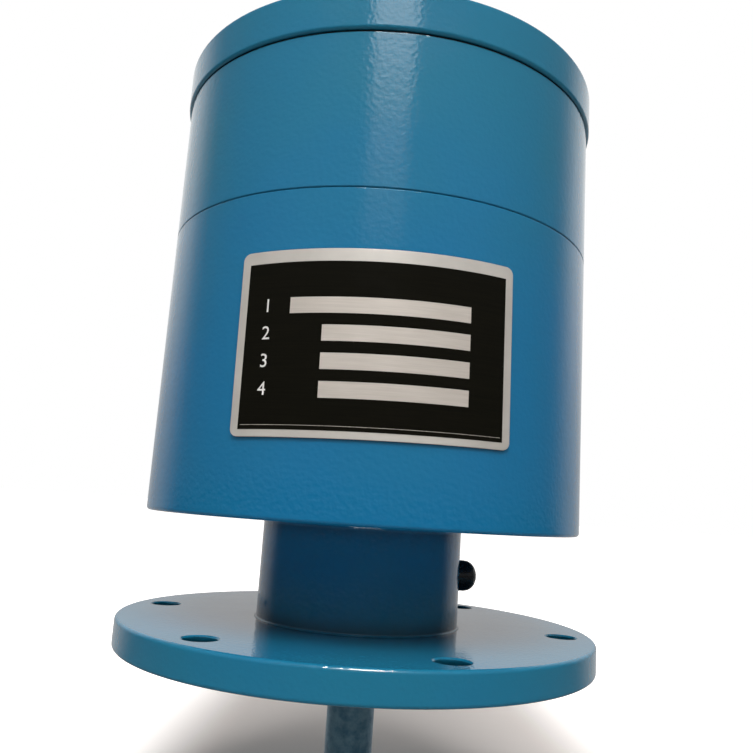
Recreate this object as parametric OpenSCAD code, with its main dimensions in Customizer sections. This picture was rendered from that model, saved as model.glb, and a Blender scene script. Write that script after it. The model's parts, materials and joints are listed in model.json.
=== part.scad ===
// Centrifugal overspeed switch: a shaft-driven flyweight governor in a drum on a flange.
// Above the set speed the weights swing out and lift a plunger, which trips a small switch.
// Millimetres. The origin is the centre of the flange's mounting face.
// +Z runs up the shaft, and -Y is the nameplate's side.

/* [Flange] */
// Diameter of the mounting flange
flange_d = 120; // [116:1:140]
// Thickness of the mounting flange
flange_t = 7; // [6:0.5:12]
// Diameter of the circle that the mounting holes lie on
hole_circle_d = 104; // [90:1:107]
// Diameter of each mounting hole
hole_d = 7.5; // [5:0.5:8.5]
// Number of mounting holes
hole_count = 6; // [3:1:8]
// Turn of the hole circle about the shaft, in degrees
hole_turn = -8; // [-30:1:30]

/* [Housing] */
// Diameter of the neck between flange and drum
neck_d = 52; // [50:1:60]
// Height of the neck from the flange to the drum
neck_h = 25; // [24:1:40]
// Outer diameter of the drum
drum_d = 111; // [108:1:130]
// Height of the lower drum, from its underside to the seam
lower_h = 70; // [69:1:90]
// Height of the upper drum, from the seam to the cap's gasket
upper_h = 36; // [35:1:60]
// Thickness of the drum's wall
wall = 6; // [5:0.5:7]
// Thickness of the drum's floor
floor_t = 7; // [5:0.5:10]
// Outer diameter of the cap
cap_d = 112.4; // [112:0.2:133]
// Height of the cap's rim
cap_h = 10.2; // [9:0.2:16]
// Rounding of the painted outer edges
edge_r = 0.8; // [0.4:0.1:1.2]

/* [Nameplate] */
// Width of the nameplate, measured round the drum
plate_w = 61.2; // [50:0.2:70]
// Height of the nameplate
plate_h = 39.4; // [30:0.2:44]
// Height of the nameplate's centre above the drum's underside
plate_up = 36.6; // [30:0.1:42]
// Tilt of the nameplate, in degrees
plate_tilt = 0.8; // [-2:0.1:2]

/* [Shaft and bearings] */
// Diameter of the drive shaft
shaft_d = 12; // [11:0.5:13]
// Length of shaft below the mounting face
shaft_out = 40; // [35:1:70]
// Length of the flat at the shaft's driven end
flat_len = 16; // [10:1:25]
// Outer diameter of the ball bearings
bearing_od = 28; // [27:0.5:30]
// Width of the ball bearings
bearing_w = 8; // [7:0.5:8]
// Diameter of the bearing balls
ball_d = 4.76; // [4:0.1:4.8]
// Number of balls in each bearing
ball_count = 8; // [6:1:8]
// Outer diameter of the sleeve that carries the bearings
cartridge_d = 36; // [34:0.5:38]

/* [Governor] */
// Radius from the shaft axis to each flyweight's hinge pin
hinge_r = 20; // [19:0.5:22]
// Height of the hinge pins above the carrier's disc
hinge_up = 9; // [8.6:0.2:12]
// Length of each flyweight's toe, from its hinge pin to its tip's centre
toe_len = 10.5; // [9:0.5:12]
// Largest radius of the closed flyweights
weight_r = 37; // [33:0.5:38]
// Width of each flyweight
weight_w = 26; // [20:1:28]
// Height of each flyweight's mass
weight_h = 21; // [16:0.5:24]
// Largest swing of the flyweights, in degrees
swing_max = 20; // [10:1:20]
// Diameter of the carrier's disc
carrier_d = 66; // [64:1:76]
// Wire diameter of the governor's spring
wire_d = 1.8; // [1.2:0.1:2]
// Number of turns in the governor's spring
spring_turns = 5.5; // [4:0.5:7]

/* [Trip switch] */
// Length of the small switch's body
switch_l = 27.8; // [26:0.2:30]
// Width of the small switch's body
switch_w = 10.3; // [9:0.1:12]
// Height of the small switch's body
switch_h = 15.5; // [13:0.5:16]
// Distance from the lever's pin to the roller's pin
lever_l = 20.5; // [19:0.5:22]
// Diameter of the lever's roller
roller_d = 4.8; // [4:0.1:5]
// Diameter of the trip plunger
plunger_d = 6; // [5:0.5:7]

/* [Cable gland] */
// Thread diameter of the cable gland
gland_d = 15.2; // [12:0.2:16]
// Width of the gland's hexagon across its flats
gland_hex_w = 19; // [18:0.5:22]
// Bore of the gland's rubber seal, for the cable
cable_bore_d = 7; // [4:0.5:8]

/* [Hidden] */
$fn = 96;
// Overshoot of a cut past the face that it opens
extra = 0.02;
// Radial clearance of a piece that is fitted and stays put
fit_gap = 0.03;
// Clearance of a running or sliding fit
run_gap = 0.05;
// Clearance between pieces that meet at rest and then move
touch_gap = 0.1;
// Clearance round a screw's shank
screw_gap = 0.2;
// Overshoot of a cut through an open side, where its length is free
overcut = 1;
// Depth of a tapped hole past the end of its screw
thread_end = 1;
// Socket heads of the screws that hold the drums and the cap
socket_head_d = 7;
socket_head_h = 4;

// Radii and heights of the housing
flange_r = flange_d / 2;
neck_r = neck_d / 2;
drum_r = drum_d / 2;
drum_in = drum_r - wall;
cap_r = cap_d / 2;
drum_z = flange_t + neck_h;
floor_z = drum_z + floor_t;
seam_z = drum_z + lower_h;
upper_top_z = seam_z + upper_h;
gasket_t = 0.5;
cap_z = upper_top_z + gasket_t;
cap_top_z = cap_z + cap_h;
cap_roof_t = 6.5;
cap_land_w = 9.5;
cap_recess_r = drum_in - cap_land_w;
seam_chamfer = 0.25;
neck_fillet = 1.5;
foot_fillet = 0.5;
register_h = 5;
register_w = 3;
register_gap = 0.1;
register_end_gap = 0.2;
ledge_w = 8;
ledge_t = 3;
ledge_slope = 5;
ledge_drop = 1;
ledge_z = seam_z - ledge_drop;
groove_up = 1.6;
groove_w = 1.8;
groove_deep = 1.4;
hole_chamfer = 0.35;

// Flange joint: a spigot in the neck and four countersunk screws from below
spigot_h = 3;
flange_screw_d = 4;
flange_screw_len = 16;
flange_screw_count = 4;
flange_screw_turn = 45;
flange_screw_r = (neck_r + cartridge_d / 2) / 2;
flange_bore_gap = 0.8;
flange_bore_r = shaft_d / 2 + flange_bore_gap;
seal_w = 5;
seal_d = shaft_d + 2 * seal_w;
seal_z = 2;

// Bearing stack
shaft_r = shaft_d / 2;
cartridge_r = cartridge_d / 2;
bearing_r = bearing_od / 2;
ball_r = ball_d / 2;
pitch_r = (shaft_r + bearing_r) / 2;
race_gap = 0.12;
ring_land = 1.5;
cartridge_end_gap = 0.3;
cartridge_z = flange_t + spigot_h + cartridge_end_gap;
cartridge_collar_w = 4;
cartridge_collar_r = cartridge_r + cartridge_collar_w;
cartridge_collar_t = 2.5;
circlip_t = 1.2;
circlip_groove = 0.9;
shaft_groove = 0.5;
bearing_up = 2.7;
lower_bearing_z = cartridge_z + bearing_up;
upper_bearing_z = floor_z - bearing_w;
shoulder_h = 2.5;
shoulder_r = bearing_r - shoulder_h;
spacer_t = 2;
spacer_r = shaft_r + spacer_t;
shaft_collar_w = 2;
shaft_collar_r = shaft_r + shaft_collar_w;
carrier_up = 4;
carrier_z = floor_z + carrier_up;
cage_t = 1.6;
cage_inset = 1;
cage_h = bearing_w - 2 * cage_inset;

// Lock screw in the neck's side
lock_d = 5;
lock_turn = 10;
lock_z = flange_t + neck_h / 2;
lock_head_d = 8;
lock_head_h = 5.9;
lock_edge_r = 3.2;
lock_socket_r = 1.9;
lock_socket_deep = 2.4;
lock_seat_deep = 0.35;
lock_seat_x = neck_r - lock_seat_deep;
lock_seat_gap = 0.4;
lock_tip_up = 1.6;
lock_tip_x = bearing_r + lock_tip_up;

// Governor: carrier, posts, top plate, sleeve and spring
carrier_t = 5;
carrier_top_z = carrier_z + carrier_t;
carrier_pin_r = 1.5;
hub_w = 4.5;
hub_r = shaft_r + hub_w;
hub_h = 6;
hinge_z = carrier_top_z + hinge_up;
toe_r = 2;
toe_width = 9;
arm_w = 13.6;
ear_t = 4;
ear_r = 4;
arm_gap = 0.2;
ear_in = arm_w / 2 + arm_gap;
pin_d = 4;
mass_up = 5.5;
mass_z = hinge_z + mass_up;
mass_out = 2;
mass_in = hinge_r + mass_out;
mass_top_z = mass_z + weight_h;
post_d = 6;
post_r = 26;
post_turn = 45;
mass_gap = 1.5;
top_plate_z = mass_top_z + mass_gap;
top_plate_t = 4;
top_plate_d = 62;
post_screw_d = 3;
post_screw_len = 10;
adjuster_r = 13;
adjuster_drop = 3;
adjuster_z = top_plate_z - adjuster_drop;
adjuster_up = 4;
adjuster_top_z = top_plate_z + top_plate_t + adjuster_up;
adjuster_slot_w = 3;
adjuster_slot_deep = 2;
lock_ring_t = 3.5;
lock_ring_w = 4;
lock_ring_r = adjuster_r + lock_ring_w;
lock_notch_w = 3.2;
lock_notch_deep = 1.6;
toe_tip_x = hinge_r - toe_len;
sleeve_z = hinge_z + toe_r + touch_gap;
sleeve_flange_r = 12;
sleeve_flange_t = 3;
sleeve_wall = 2.2;
sleeve_r = shaft_r + sleeve_wall;
sleeve_fit_l = 9;
shaft_top_z = sleeve_z + sleeve_fit_l;
sleeve_room = 4;
sleeve_bore_top = shaft_top_z + sleeve_room;
sleeve_roof_t = 3;
sleeve_top_z = sleeve_bore_top + sleeve_roof_t;
rod_r = 3.5;
rod_gap = 0.4;
rod_up = 0.2;
rod_top_z = adjuster_top_z + rod_up;
thrust_ball_r = 2;
thrust_ball_up = 0.3;
thrust_ball_z = rod_top_z + thrust_ball_up;
spring_gap = 1.2;
spring_r = sleeve_r + spring_gap + wire_d / 2;
spring_low_z = sleeve_z + sleeve_flange_t + touch_gap;
spring_high_z = adjuster_z - touch_gap;
spring_steps_per_turn = 20;
spring_sides = 8;
stroke = toe_len * swing_max * PI / 180;

// Switch stack, built up from the plate that closes the lower drum
switch_plate_t = 3;
switch_plate_gap = 0.2;
switch_plate_z = ledge_z;
switch_plate_top = switch_plate_z + switch_plate_t;
plate_screw_d = 3;
plate_screw_len = 7;
plate_screw_inset = 3.3;
plate_screw_r = drum_in - plate_screw_inset;
plate_screw_turn = 90;
housing_screw_d = 4;
housing_screw_inset = 4.2;
housing_screw_r = drum_in - housing_screw_inset;
housing_screw_turn = 30;
screw_foot_r = 4;
screw_lug_r = 5.4;
screw_lug_h = 9;
screw_lug_step = 0.4;
plunger_r = plunger_d / 2;
bush_wall = 1.8;
bush_r = plunger_r + bush_wall;
bush_collar_w = 3;
bush_collar_r = bush_r + bush_collar_w;
bush_collar_t = 2;
bush_up = 3.5;
bush_top_z = switch_plate_top + bush_up;
plunger_z = thrust_ball_z + thrust_ball_r + touch_gap;
clip_t = 0.8;
clip_groove = 0.6;
plunger_up = 1.7;
plunger_top_z = bush_top_z + clip_t + plunger_up;
roller_r = roller_d / 2;
roller_w = 3.6;
side_gap = 0.2;
roller_z = plunger_top_z + roller_r + touch_gap;
lever_pin_up = 1;
lever_pin_z = roller_z + stroke + lever_pin_up;
lever_pin_x = -sqrt(lever_l * lever_l - pow(lever_pin_z - roller_z, 2));
lever_tilt = asin((lever_pin_z - roller_z) / lever_l);
switch_up = 1.8;
switch_z = lever_pin_z + switch_up;
lever_pin_inset = 3;
switch_x0 = lever_pin_x - lever_pin_inset;
lever_pin_r = 0.75;
lever_t = 0.8;
lever_w = 5.4;
button_arm = 6.5;
button_x = lever_pin_x + button_arm;
button_r = 1.1;
button_len = 5.4;
button_room = 2;
button_seat_z = lever_pin_z - button_arm * tan(lever_tilt) + lever_t / 2 / cos(lever_tilt);
button_z = button_seat_z + (button_r + touch_gap) / cos(lever_tilt) - button_r;
switch_hole_up = 3.5;
switch_hole_z = switch_z + switch_hole_up;
switch_hole_d = 3;
switch_hole_inset = 2.8;
switch_hole_x = [switch_x0 + switch_hole_inset, switch_x0 + switch_l - switch_hole_inset];
tab_w = 4.8;
tab_t = 0.8;
tab_h = 5;
tab_hole_r = 0.8;
tab_hole_drop = 1.8;
tab_inset = 2.5;
tab_inset_far = 3.5;
tab_xs = [switch_x0 + tab_inset, switch_x0 + switch_l / 2, switch_x0 + switch_l - tab_inset_far];
bracket_t = 2.5;
bracket_y = switch_w / 2 + fit_gap;
bracket_over = 1;
bracket_x0 = switch_x0 - bracket_over;
bracket_l = switch_l + 2 * bracket_over;
bracket_drop = 2;
bracket_foot = 13;
bracket_screw_d = 4;
bracket_screw_inset = 7;
bracket_screw_x = [bracket_x0 + bracket_screw_inset, bracket_x0 + bracket_l - bracket_screw_inset];
bracket_screw_y = bracket_y + bracket_t + bracket_foot / 2;

// Terminal block on the switch plate
block_l = 36;
block_w = 14;
block_h = 13;
block_y = -24;
pole_count = 4;
pole_pitch = block_l / pole_count;
barrier_t = 1.4;
block_screw_step = 3.5;
block_foot_l = 7;
block_foot_h = 4;
block_foot_x = block_l / 2 + block_foot_l / 2;
block_mid_y = block_y - block_w / 2;
barrier_h = 4;
block_floor_h = block_h - barrier_h;
block_well_z = 3.6;
block_screw_len = 5;
lead_r = 0.8;
lead_in_up = 3.2;
lead_in_z = switch_plate_top + lead_in_up;
lead_hole_l = 3;
lead_hole_gap = 0.3;

// Cable gland at the back of the upper drum
gland_r = gland_d / 2;
gland_z = (switch_plate_top + cap_z) / 2;
gland_hex_r = gland_hex_w / 2 / cos(30);
gland_flat_over = 0.8;
gland_flat_r = gland_hex_r + gland_flat_over;
gland_seat_deep = 0.3;
gland_seat_y = sqrt(drum_r * drum_r - gland_flat_r * gland_flat_r) - gland_seat_deep;
gland_wall_y = drum_in + gland_seat_deep;
gland_hex_t = 5;
gland_nut_t = 4;
gland_hole_gap = 0.1;
gland_thread_out = 1.5;
gland_stub = 6;
gland_stub_wall = 1.4;
gland_stub_y = gland_seat_y + gland_hex_t;
gland_seat_step = 1;
gland_dome_l = 12;
gland_dome_round = 3.5;
gland_nut_hex = 0.55;
gland_nut_gap = 0.6;
gland_seal_l = 8;
gland_seal_y = gland_stub_y + gland_seat_step + 2 * touch_gap;
cable_way_r = cable_bore_d / 2 + 0.8;

// Cap screws in bosses inside the upper drum
cap_screw_d = 4;
cap_screw_count = 4;
cap_screw_turn = 45;
boss_r = 4.6;
boss_inset = 3;
boss_circle_r = drum_in - boss_inset;
boss_h = 12;
cap_head_sink = 0.4;
cap_head_gap = 0.4;
cap_head_z = cap_top_z - socket_head_h - cap_head_sink;
cap_screw_len = 14;

paint_blue = [0.11, 0.36, 0.53];
bright_steel = [0.72, 0.73, 0.75];
dark_steel = [0.16, 0.16, 0.17];
brass_gold = [0.78, 0.62, 0.30];
black_rubber = [0.06, 0.06, 0.06];
black_plastic = [0.10, 0.10, 0.11];
zinc_grey = [0.60, 0.62, 0.65];
cream_plastic = [0.86, 0.85, 0.80];
signal_red = [0.75, 0.12, 0.10];

// Points on an arc about c, from angle a0 to a1
function arc_points(c, r, a0, a1, n = 5) =
    [for (i = [0 : n]) c + r * [cos(a0 + (a1 - a0) * i / n), sin(a0 + (a1 - a0) * i / n)]];

// Point on a cubic curve with four control points
function curve_point(p, t) =
    pow(1 - t, 3) * p[0] + 3 * pow(1 - t, 2) * t * p[1] + 3 * (1 - t) * t * t * p[2] + pow(t, 3) * p[3];

function unit(v) = v / norm(v);

// Direction of a path at its i-th point
function path_way(path, i) = unit(path[min(i + 1, len(path) - 1)] - path[max(i - 1, 0)]);

// Copies its children round the Z axis
module around(count, turn = 0) {
    for (i = [0 : count - 1]) rotate([0, 0, turn + i * 360 / count]) children();
}

// Flat ring or tube standing on the XY plane
module tube(outer, inner, h) {
    difference() {
        cylinder(r = outer, h = h);
        translate([0, 0, -extra]) cylinder(r = inner, h = h + 2 * extra);
    }
}

// Turned part: the outline is drawn in radius and height
module turned(points) {
    rotate_extrude() polygon(points);
}

// Turns a piece drawn along +Z to lie along +Y, at a height of its own
module along_y() {
    rotate([-90, 0, 0]) children();
}

// Closed round tube swept along a path, its rings square to the path and kept level by the up direction
module swept_tube(path, r, sides, up) {
    count = len(path);
    rings = [
        for (i = [0 : count - 1])
            let (way = path_way(path, i), side = unit(cross(way, up)), over = cross(side, way))
            [for (k = [0 : sides - 1]) let (a = 360 * k / sides)
                path[i] + r * (cos(a) * side + sin(a) * over)]
    ];
    points = [for (ring = rings) each ring];
    skin = [
        for (i = [0 : count - 2], k = [0 : sides - 1])
            let (a = i * sides + k, b = i * sides + (k + 1) % sides)
            each [[a, b, a + sides], [b, b + sides, a + sides]]
    ];
    start_fan = [for (k = [1 : sides - 2]) [0, k + 1, k]];
    last = (count - 1) * sides;
    end_fan = [for (k = [1 : sides - 2]) [last, last + k, last + k + 1]];
    polyhedron(points = points, faces = concat(skin, start_fan, end_fan), convexity = 10);
}

// Socket-head screw: its head stands on the XY plane and its shank points down
module socket_screw(d, length) {
    difference() {
        union() {
            cylinder(r = socket_head_d / 2, h = socket_head_h);
            translate([0, 0, -length]) cylinder(r = d / 2, h = length + extra);
        }
        translate([0, 0, socket_head_h * 0.45]) cylinder(r = d * 0.46, h = socket_head_h, $fn = 6);
    }
}

// Pan-head screw with a cross slot: its head stands on the XY plane and its shank points down
module pan_screw(d, length) {
    head_r = d * 0.92;
    head_h = d * 0.65;
    round_r = head_h * 0.6;
    slot_l = head_r * 1.2;
    slot_w = d * 0.22;
    difference() {
        union() {
            turned(concat(
                [[0, 0], [head_r, 0]],
                arc_points([head_r - round_r, head_h - round_r], round_r, 0, 90),
                [[0, head_h]]
            ));
            translate([0, 0, -length]) cylinder(r = d / 2, h = length + extra);
        }
        for (a = [0, 90]) rotate([0, 0, a])
            translate([-slot_l / 2, -slot_w / 2, head_h * 0.45]) cube([slot_l, slot_w, head_h]);
    }
}

// Countersunk screw: its flat face lies on the XY plane and its shank points up
module countersunk_screw(d, length) {
    cone_h = d / 2;
    difference() {
        union() {
            cylinder(r1 = d, r2 = d / 2, h = cone_h);
            translate([0, 0, cone_h - extra]) cylinder(r = d / 2, h = length - cone_h);
        }
        translate([0, 0, -extra]) cylinder(r = d * 0.34, h = d * 0.3, $fn = 6);
    }
}

// Open spring ring with a gap towards +X
module snap_ring(outer, inner, t, gap) {
    difference() {
        tube(outer, inner, t);
        translate([0, -gap / 2, -extra]) cube([outer + overcut, gap, t + 2 * extra]);
    }
}

// Rounded rectangle in the XY plane, centred
module rounded_plate_outline(w, h, r) {
    square([w - 2 * r, h], center = true);
    square([w, h - 2 * r], center = true);
    for (x = [-1, 1], y = [-1, 1]) translate([x * (w / 2 - r), y * (h / 2 - r)]) circle(r = r);
}

// Places of the screws that hold the switch plate on its ledge
module plate_screw_places() {
    around(3, plate_screw_turn) translate([plate_screw_r, 0, 0]) children();
}

// Places of the screws that clamp the upper drum on the lower one
module housing_screw_places() {
    around(3, housing_screw_turn) translate([housing_screw_r, 0, 0]) children();
}

// Turns a piece drawn along +Z to point out of the neck along the lock screw's axis
module lock_place() {
    translate([0, 0, lock_z]) rotate([0, 90, lock_turn]) children();
}

// Places of the screws in the terminal block's feet
module block_foot_places() {
    for (x = [-block_foot_x, block_foot_x]) translate([x, block_mid_y, 0]) children();
}

module base_flange() {
    spigot_r = cartridge_r - fit_gap;
    shank_r = flange_screw_d / 2 + screw_gap;
    color(paint_blue) difference() {
        turned(concat(
            [[flange_bore_r, 0]],
            arc_points([flange_r - edge_r, edge_r], edge_r, -90, 0),
            arc_points([flange_r - edge_r, flange_t - edge_r], edge_r, 0, 90),
            [[spigot_r, flange_t], [spigot_r, flange_t + spigot_h], [seal_d / 2, flange_t + spigot_h],
             [seal_d / 2, seal_z], [flange_bore_r, seal_z]]
        ));
        around(hole_count, hole_turn) translate([hole_circle_d / 2, 0, 0]) {
            translate([0, 0, -extra]) cylinder(r = hole_d / 2, h = flange_t + 2 * extra);
            translate([0, 0, flange_t - hole_chamfer])
                cylinder(r1 = hole_d / 2, r2 = hole_d / 2 + hole_chamfer + extra, h = hole_chamfer + extra);
        }
        around(flange_screw_count, flange_screw_turn) translate([flange_screw_r, 0, -extra]) {
            cylinder(r = shank_r, h = flange_t + 2 * extra);
            cylinder(r1 = flange_screw_d + screw_gap, r2 = shank_r, h = flange_screw_d / 2 + extra);
        }
    }
}

module flange_screws() {
    color(dark_steel) around(flange_screw_count, flange_screw_turn)
        translate([flange_screw_r, 0, touch_gap]) countersunk_screw(flange_screw_d, flange_screw_len);
}

module lower_housing() {
    register_r = drum_in + register_w;
    groove_z = seam_z + groove_up;
    tap_h = ledge_t + ledge_slope + overcut;
    color(paint_blue) difference() {
        turned(concat(
            [[cartridge_r, flange_t]],
            arc_points([neck_r + foot_fillet, flange_t + foot_fillet], foot_fillet, 270, 180),
            arc_points([neck_r + neck_fillet, drum_z - neck_fillet], neck_fillet, 180, 90),
            arc_points([drum_r - edge_r, drum_z + edge_r], edge_r, -90, 0),
            [[drum_r, seam_z - seam_chamfer], [drum_r - seam_chamfer, seam_z], [register_r, seam_z],
             [register_r, groove_z], [register_r - groove_deep, groove_z],
             [register_r - groove_deep, groove_z + groove_w], [register_r, groove_z + groove_w],
             [register_r, seam_z + register_h], [drum_in, seam_z + register_h],
             [drum_in, ledge_z], [drum_in - ledge_w, ledge_z], [drum_in - ledge_w, ledge_z - ledge_t],
             [drum_in, ledge_z - ledge_t - ledge_slope], [drum_in, floor_z], [cartridge_r, floor_z]]
        ));
        around(flange_screw_count, flange_screw_turn) translate([flange_screw_r, 0, flange_t - extra])
            cylinder(r = flange_screw_d / 2 + fit_gap, h = flange_screw_len - flange_t + thread_end);
        lock_place() {
            cylinder(r = lock_d / 2 + fit_gap, h = neck_r + overcut);
            translate([0, 0, lock_seat_x]) cylinder(r = lock_head_d / 2 + lock_seat_gap, h = overcut);
        }
        translate([0, 0, ledge_z - ledge_t - ledge_slope - extra]) {
            plate_screw_places() cylinder(r = plate_screw_d / 2 + fit_gap, h = tap_h);
            housing_screw_places() cylinder(r = housing_screw_d / 2 + fit_gap, h = tap_h);
        }
    }
}

module upper_housing() {
    rebate_r = drum_in + register_w + register_gap;
    rebate_z = seam_z + register_h + register_end_gap;
    lug_z = rebate_z + screw_lug_step;
    lug_top_z = switch_plate_top + screw_lug_h;
    color(paint_blue) difference() {
        union() {
            turned([
                [rebate_r, seam_z], [drum_r - seam_chamfer, seam_z], [drum_r, seam_z + seam_chamfer],
                [drum_r, upper_top_z], [drum_in, upper_top_z], [drum_in, rebate_z], [rebate_r, rebate_z]
            ]);
            around(cap_screw_count, cap_screw_turn) translate([boss_circle_r, 0, upper_top_z - boss_h])
                cylinder(r = boss_r, h = boss_h);
            housing_screw_places() {
                translate([0, 0, switch_plate_top]) cylinder(r = screw_foot_r, h = screw_lug_h);
                translate([0, 0, lug_z]) cylinder(r = screw_lug_r, h = lug_top_z - lug_z);
            }
        }
        around(cap_screw_count, cap_screw_turn)
            translate([boss_circle_r, 0, upper_top_z - boss_h + thread_end])
                cylinder(r = cap_screw_d / 2 + fit_gap, h = boss_h);
        translate([0, 0, switch_plate_top - extra]) housing_screw_places()
            cylinder(r = housing_screw_d / 2 + screw_gap, h = screw_lug_h + 2 * extra);
        translate([0, 0, gland_z]) along_y() {
            cylinder(r = gland_r + gland_hole_gap, h = drum_r + overcut);
            translate([0, 0, gland_seat_y]) cylinder(r = gland_flat_r, h = wall);
            translate([0, 0, gland_wall_y - wall]) cylinder(r = gland_flat_r, h = wall);
        }
    }
}

module nameplate() {
    plate_t = 0.5;
    corner_r = 1.6;
    half_angle = plate_w / 2 / drum_r * 180 / PI;
    chord = 2 * drum_r * sin(half_angle);
    color(bright_steel) intersection() {
        translate([0, 0, drum_z]) tube(drum_r + plate_t, drum_r, lower_h);
        translate([0, 0, drum_z + plate_up]) rotate([90, 0, 0]) rotate([0, 0, plate_tilt])
            linear_extrude(height = drum_r + overcut) rounded_plate_outline(chord, plate_h, corner_r);
    }
}

module neck_lock_screw() {
    shank_l = lock_seat_x - lock_tip_x;
    color(dark_steel) lock_place() translate([0, 0, lock_seat_x]) difference() {
        union() {
            turned(concat(
                [[0, 0], [lock_head_d / 2, 0]],
                arc_points([lock_head_d / 2 - lock_edge_r, lock_head_h - lock_edge_r], lock_edge_r, 0, 90),
                [[0, lock_head_h]]
            ));
            translate([0, 0, -shank_l]) cylinder(r = lock_d / 2, h = shank_l + extra);
        }
        translate([0, 0, lock_head_h - lock_socket_deep])
            cylinder(r = lock_socket_r, h = lock_socket_deep + extra, $fn = 6);
    }
}

module bearing_cartridge() {
    outer_r = cartridge_r - fit_gap;
    collar_z = floor_z + cartridge_collar_t;
    lower_top = lower_bearing_z + bearing_w;
    groove_r = bearing_r + circlip_groove;
    groove_z = lower_bearing_z - circlip_t - touch_gap;
    color(zinc_grey) difference() {
        turned([
            [bearing_r, cartridge_z], [outer_r, cartridge_z], [outer_r, floor_z],
            [cartridge_collar_r, floor_z], [cartridge_collar_r, collar_z], [bearing_r, collar_z],
            [bearing_r, upper_bearing_z], [shoulder_r, upper_bearing_z], [shoulder_r, lower_top],
            [bearing_r, lower_top], [bearing_r, lower_bearing_z], [groove_r, lower_bearing_z],
            [groove_r, groove_z], [bearing_r, groove_z]
        ]);
        lock_place() translate([0, 0, lock_tip_x - screw_gap])
            cylinder(r = lock_d / 2 + screw_gap, h = wall);
    }
}

module cartridge_circlip() {
    ring_in = 1.6;
    mouth = 5;
    color(dark_steel) translate([0, 0, lower_bearing_z - circlip_t - fit_gap])
        snap_ring(bearing_r + circlip_groove - touch_gap, bearing_r - ring_in, circlip_t, mouth);
}

module shaft_seal() {
    rim_t = 1.4;
    web_t = 1.6;
    lip_t = 1.2;
    end_gap = 0.4;
    lip_r = shaft_r + run_gap;
    rim_r = seal_d / 2;
    web_z = seal_z + web_t;
    seal_top = flange_t + spigot_h - end_gap;
    lip_z = seal_top - rim_t;
    color(black_rubber) turned([
        [lip_r, seal_z], [rim_r, seal_z], [rim_r, seal_top], [rim_r - rim_t, seal_top],
        [rim_r - rim_t, web_z], [lip_r + web_t, web_z], [lip_r + lip_t, lip_z], [lip_r, lip_z]
    ]);
}

// Ring of space that the balls of a bearing roll in
module ball_track() {
    translate([0, 0, bearing_w / 2]) rotate_extrude()
        translate([pitch_r, 0]) circle(r = ball_r + race_gap);
}

// Outer ring of a ball bearing whose lower face is at height z
module outer_ring(z) {
    color(bright_steel) translate([0, 0, z]) difference() {
        tube(bearing_r, pitch_r + ring_land, bearing_w);
        ball_track();
    }
}

// Inner ring of a ball bearing whose lower face is at height z
module inner_ring(z) {
    color(bright_steel) translate([0, 0, z]) difference() {
        tube(pitch_r - ring_land, shaft_r, bearing_w);
        ball_track();
    }
}

module bearing_balls(z) {
    color(bright_steel) around(ball_count) translate([pitch_r, 0, z + bearing_w / 2]) sphere(r = ball_r);
}

module bearing_cage(z) {
    mid_z = z + bearing_w / 2;
    color(brass_gold) difference() {
        translate([0, 0, mid_z - cage_h / 2]) tube(pitch_r + cage_t / 2, pitch_r - cage_t / 2, cage_h);
        around(ball_count) translate([pitch_r, 0, mid_z]) sphere(r = ball_r + race_gap);
    }
}

module lower_bearing_outer_ring() { outer_ring(lower_bearing_z); }
module upper_bearing_outer_ring() { outer_ring(upper_bearing_z); }
module lower_bearing_inner_ring() { inner_ring(lower_bearing_z); }
module upper_bearing_inner_ring() { inner_ring(upper_bearing_z); }
module lower_bearing_balls() { bearing_balls(lower_bearing_z); }
module upper_bearing_balls() { bearing_balls(upper_bearing_z); }
module lower_bearing_cage() { bearing_cage(lower_bearing_z); }
module upper_bearing_cage() { bearing_cage(upper_bearing_z); }

module seam_o_ring() {
    section_r = 0.75;
    ring_z = seam_z + groove_up + groove_w / 2;
    color(black_rubber) rotate_extrude()
        translate([drum_in + register_w + register_gap - section_r, ring_z]) circle(r = section_r);
}

module switch_plate() {
    cut_h = switch_plate_t + 2 * extra;
    color(zinc_grey) difference() {
        translate([0, 0, switch_plate_z]) cylinder(r = drum_in - switch_plate_gap, h = switch_plate_t);
        translate([0, 0, switch_plate_z - extra]) {
            cylinder(r = bush_r + fit_gap, h = cut_h);
            plate_screw_places() cylinder(r = plate_screw_d / 2 + screw_gap, h = cut_h);
            housing_screw_places() cylinder(r = housing_screw_d / 2 + screw_gap, h = cut_h);
            block_foot_places() cylinder(r = plate_screw_d / 2 + fit_gap, h = cut_h);
            for (x = bracket_screw_x) translate([x, bracket_screw_y, 0])
                cylinder(r = bracket_screw_d / 2 + fit_gap, h = cut_h);
        }
    }
}

module switch_plate_screws() {
    color(bright_steel) {
        translate([0, 0, switch_plate_top]) plate_screw_places() pan_screw(plate_screw_d, plate_screw_len);
        translate([0, 0, switch_plate_top + block_foot_h]) block_foot_places()
            pan_screw(plate_screw_d, plate_screw_len);
    }
}

module housing_screws() {
    color(bright_steel) translate([0, 0, switch_plate_top + screw_lug_h]) housing_screw_places()
        socket_screw(housing_screw_d, screw_lug_h + switch_plate_t + ledge_t);
}

module guide_bush() {
    bore_r = plunger_r + run_gap;
    collar_z = switch_plate_z - bush_collar_t;
    color(brass_gold) turned([
        [bore_r, collar_z], [bush_collar_r, collar_z], [bush_collar_r, switch_plate_z],
        [bush_r, switch_plate_z], [bush_r, bush_top_z], [bore_r, bush_top_z]
    ]);
}

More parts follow.
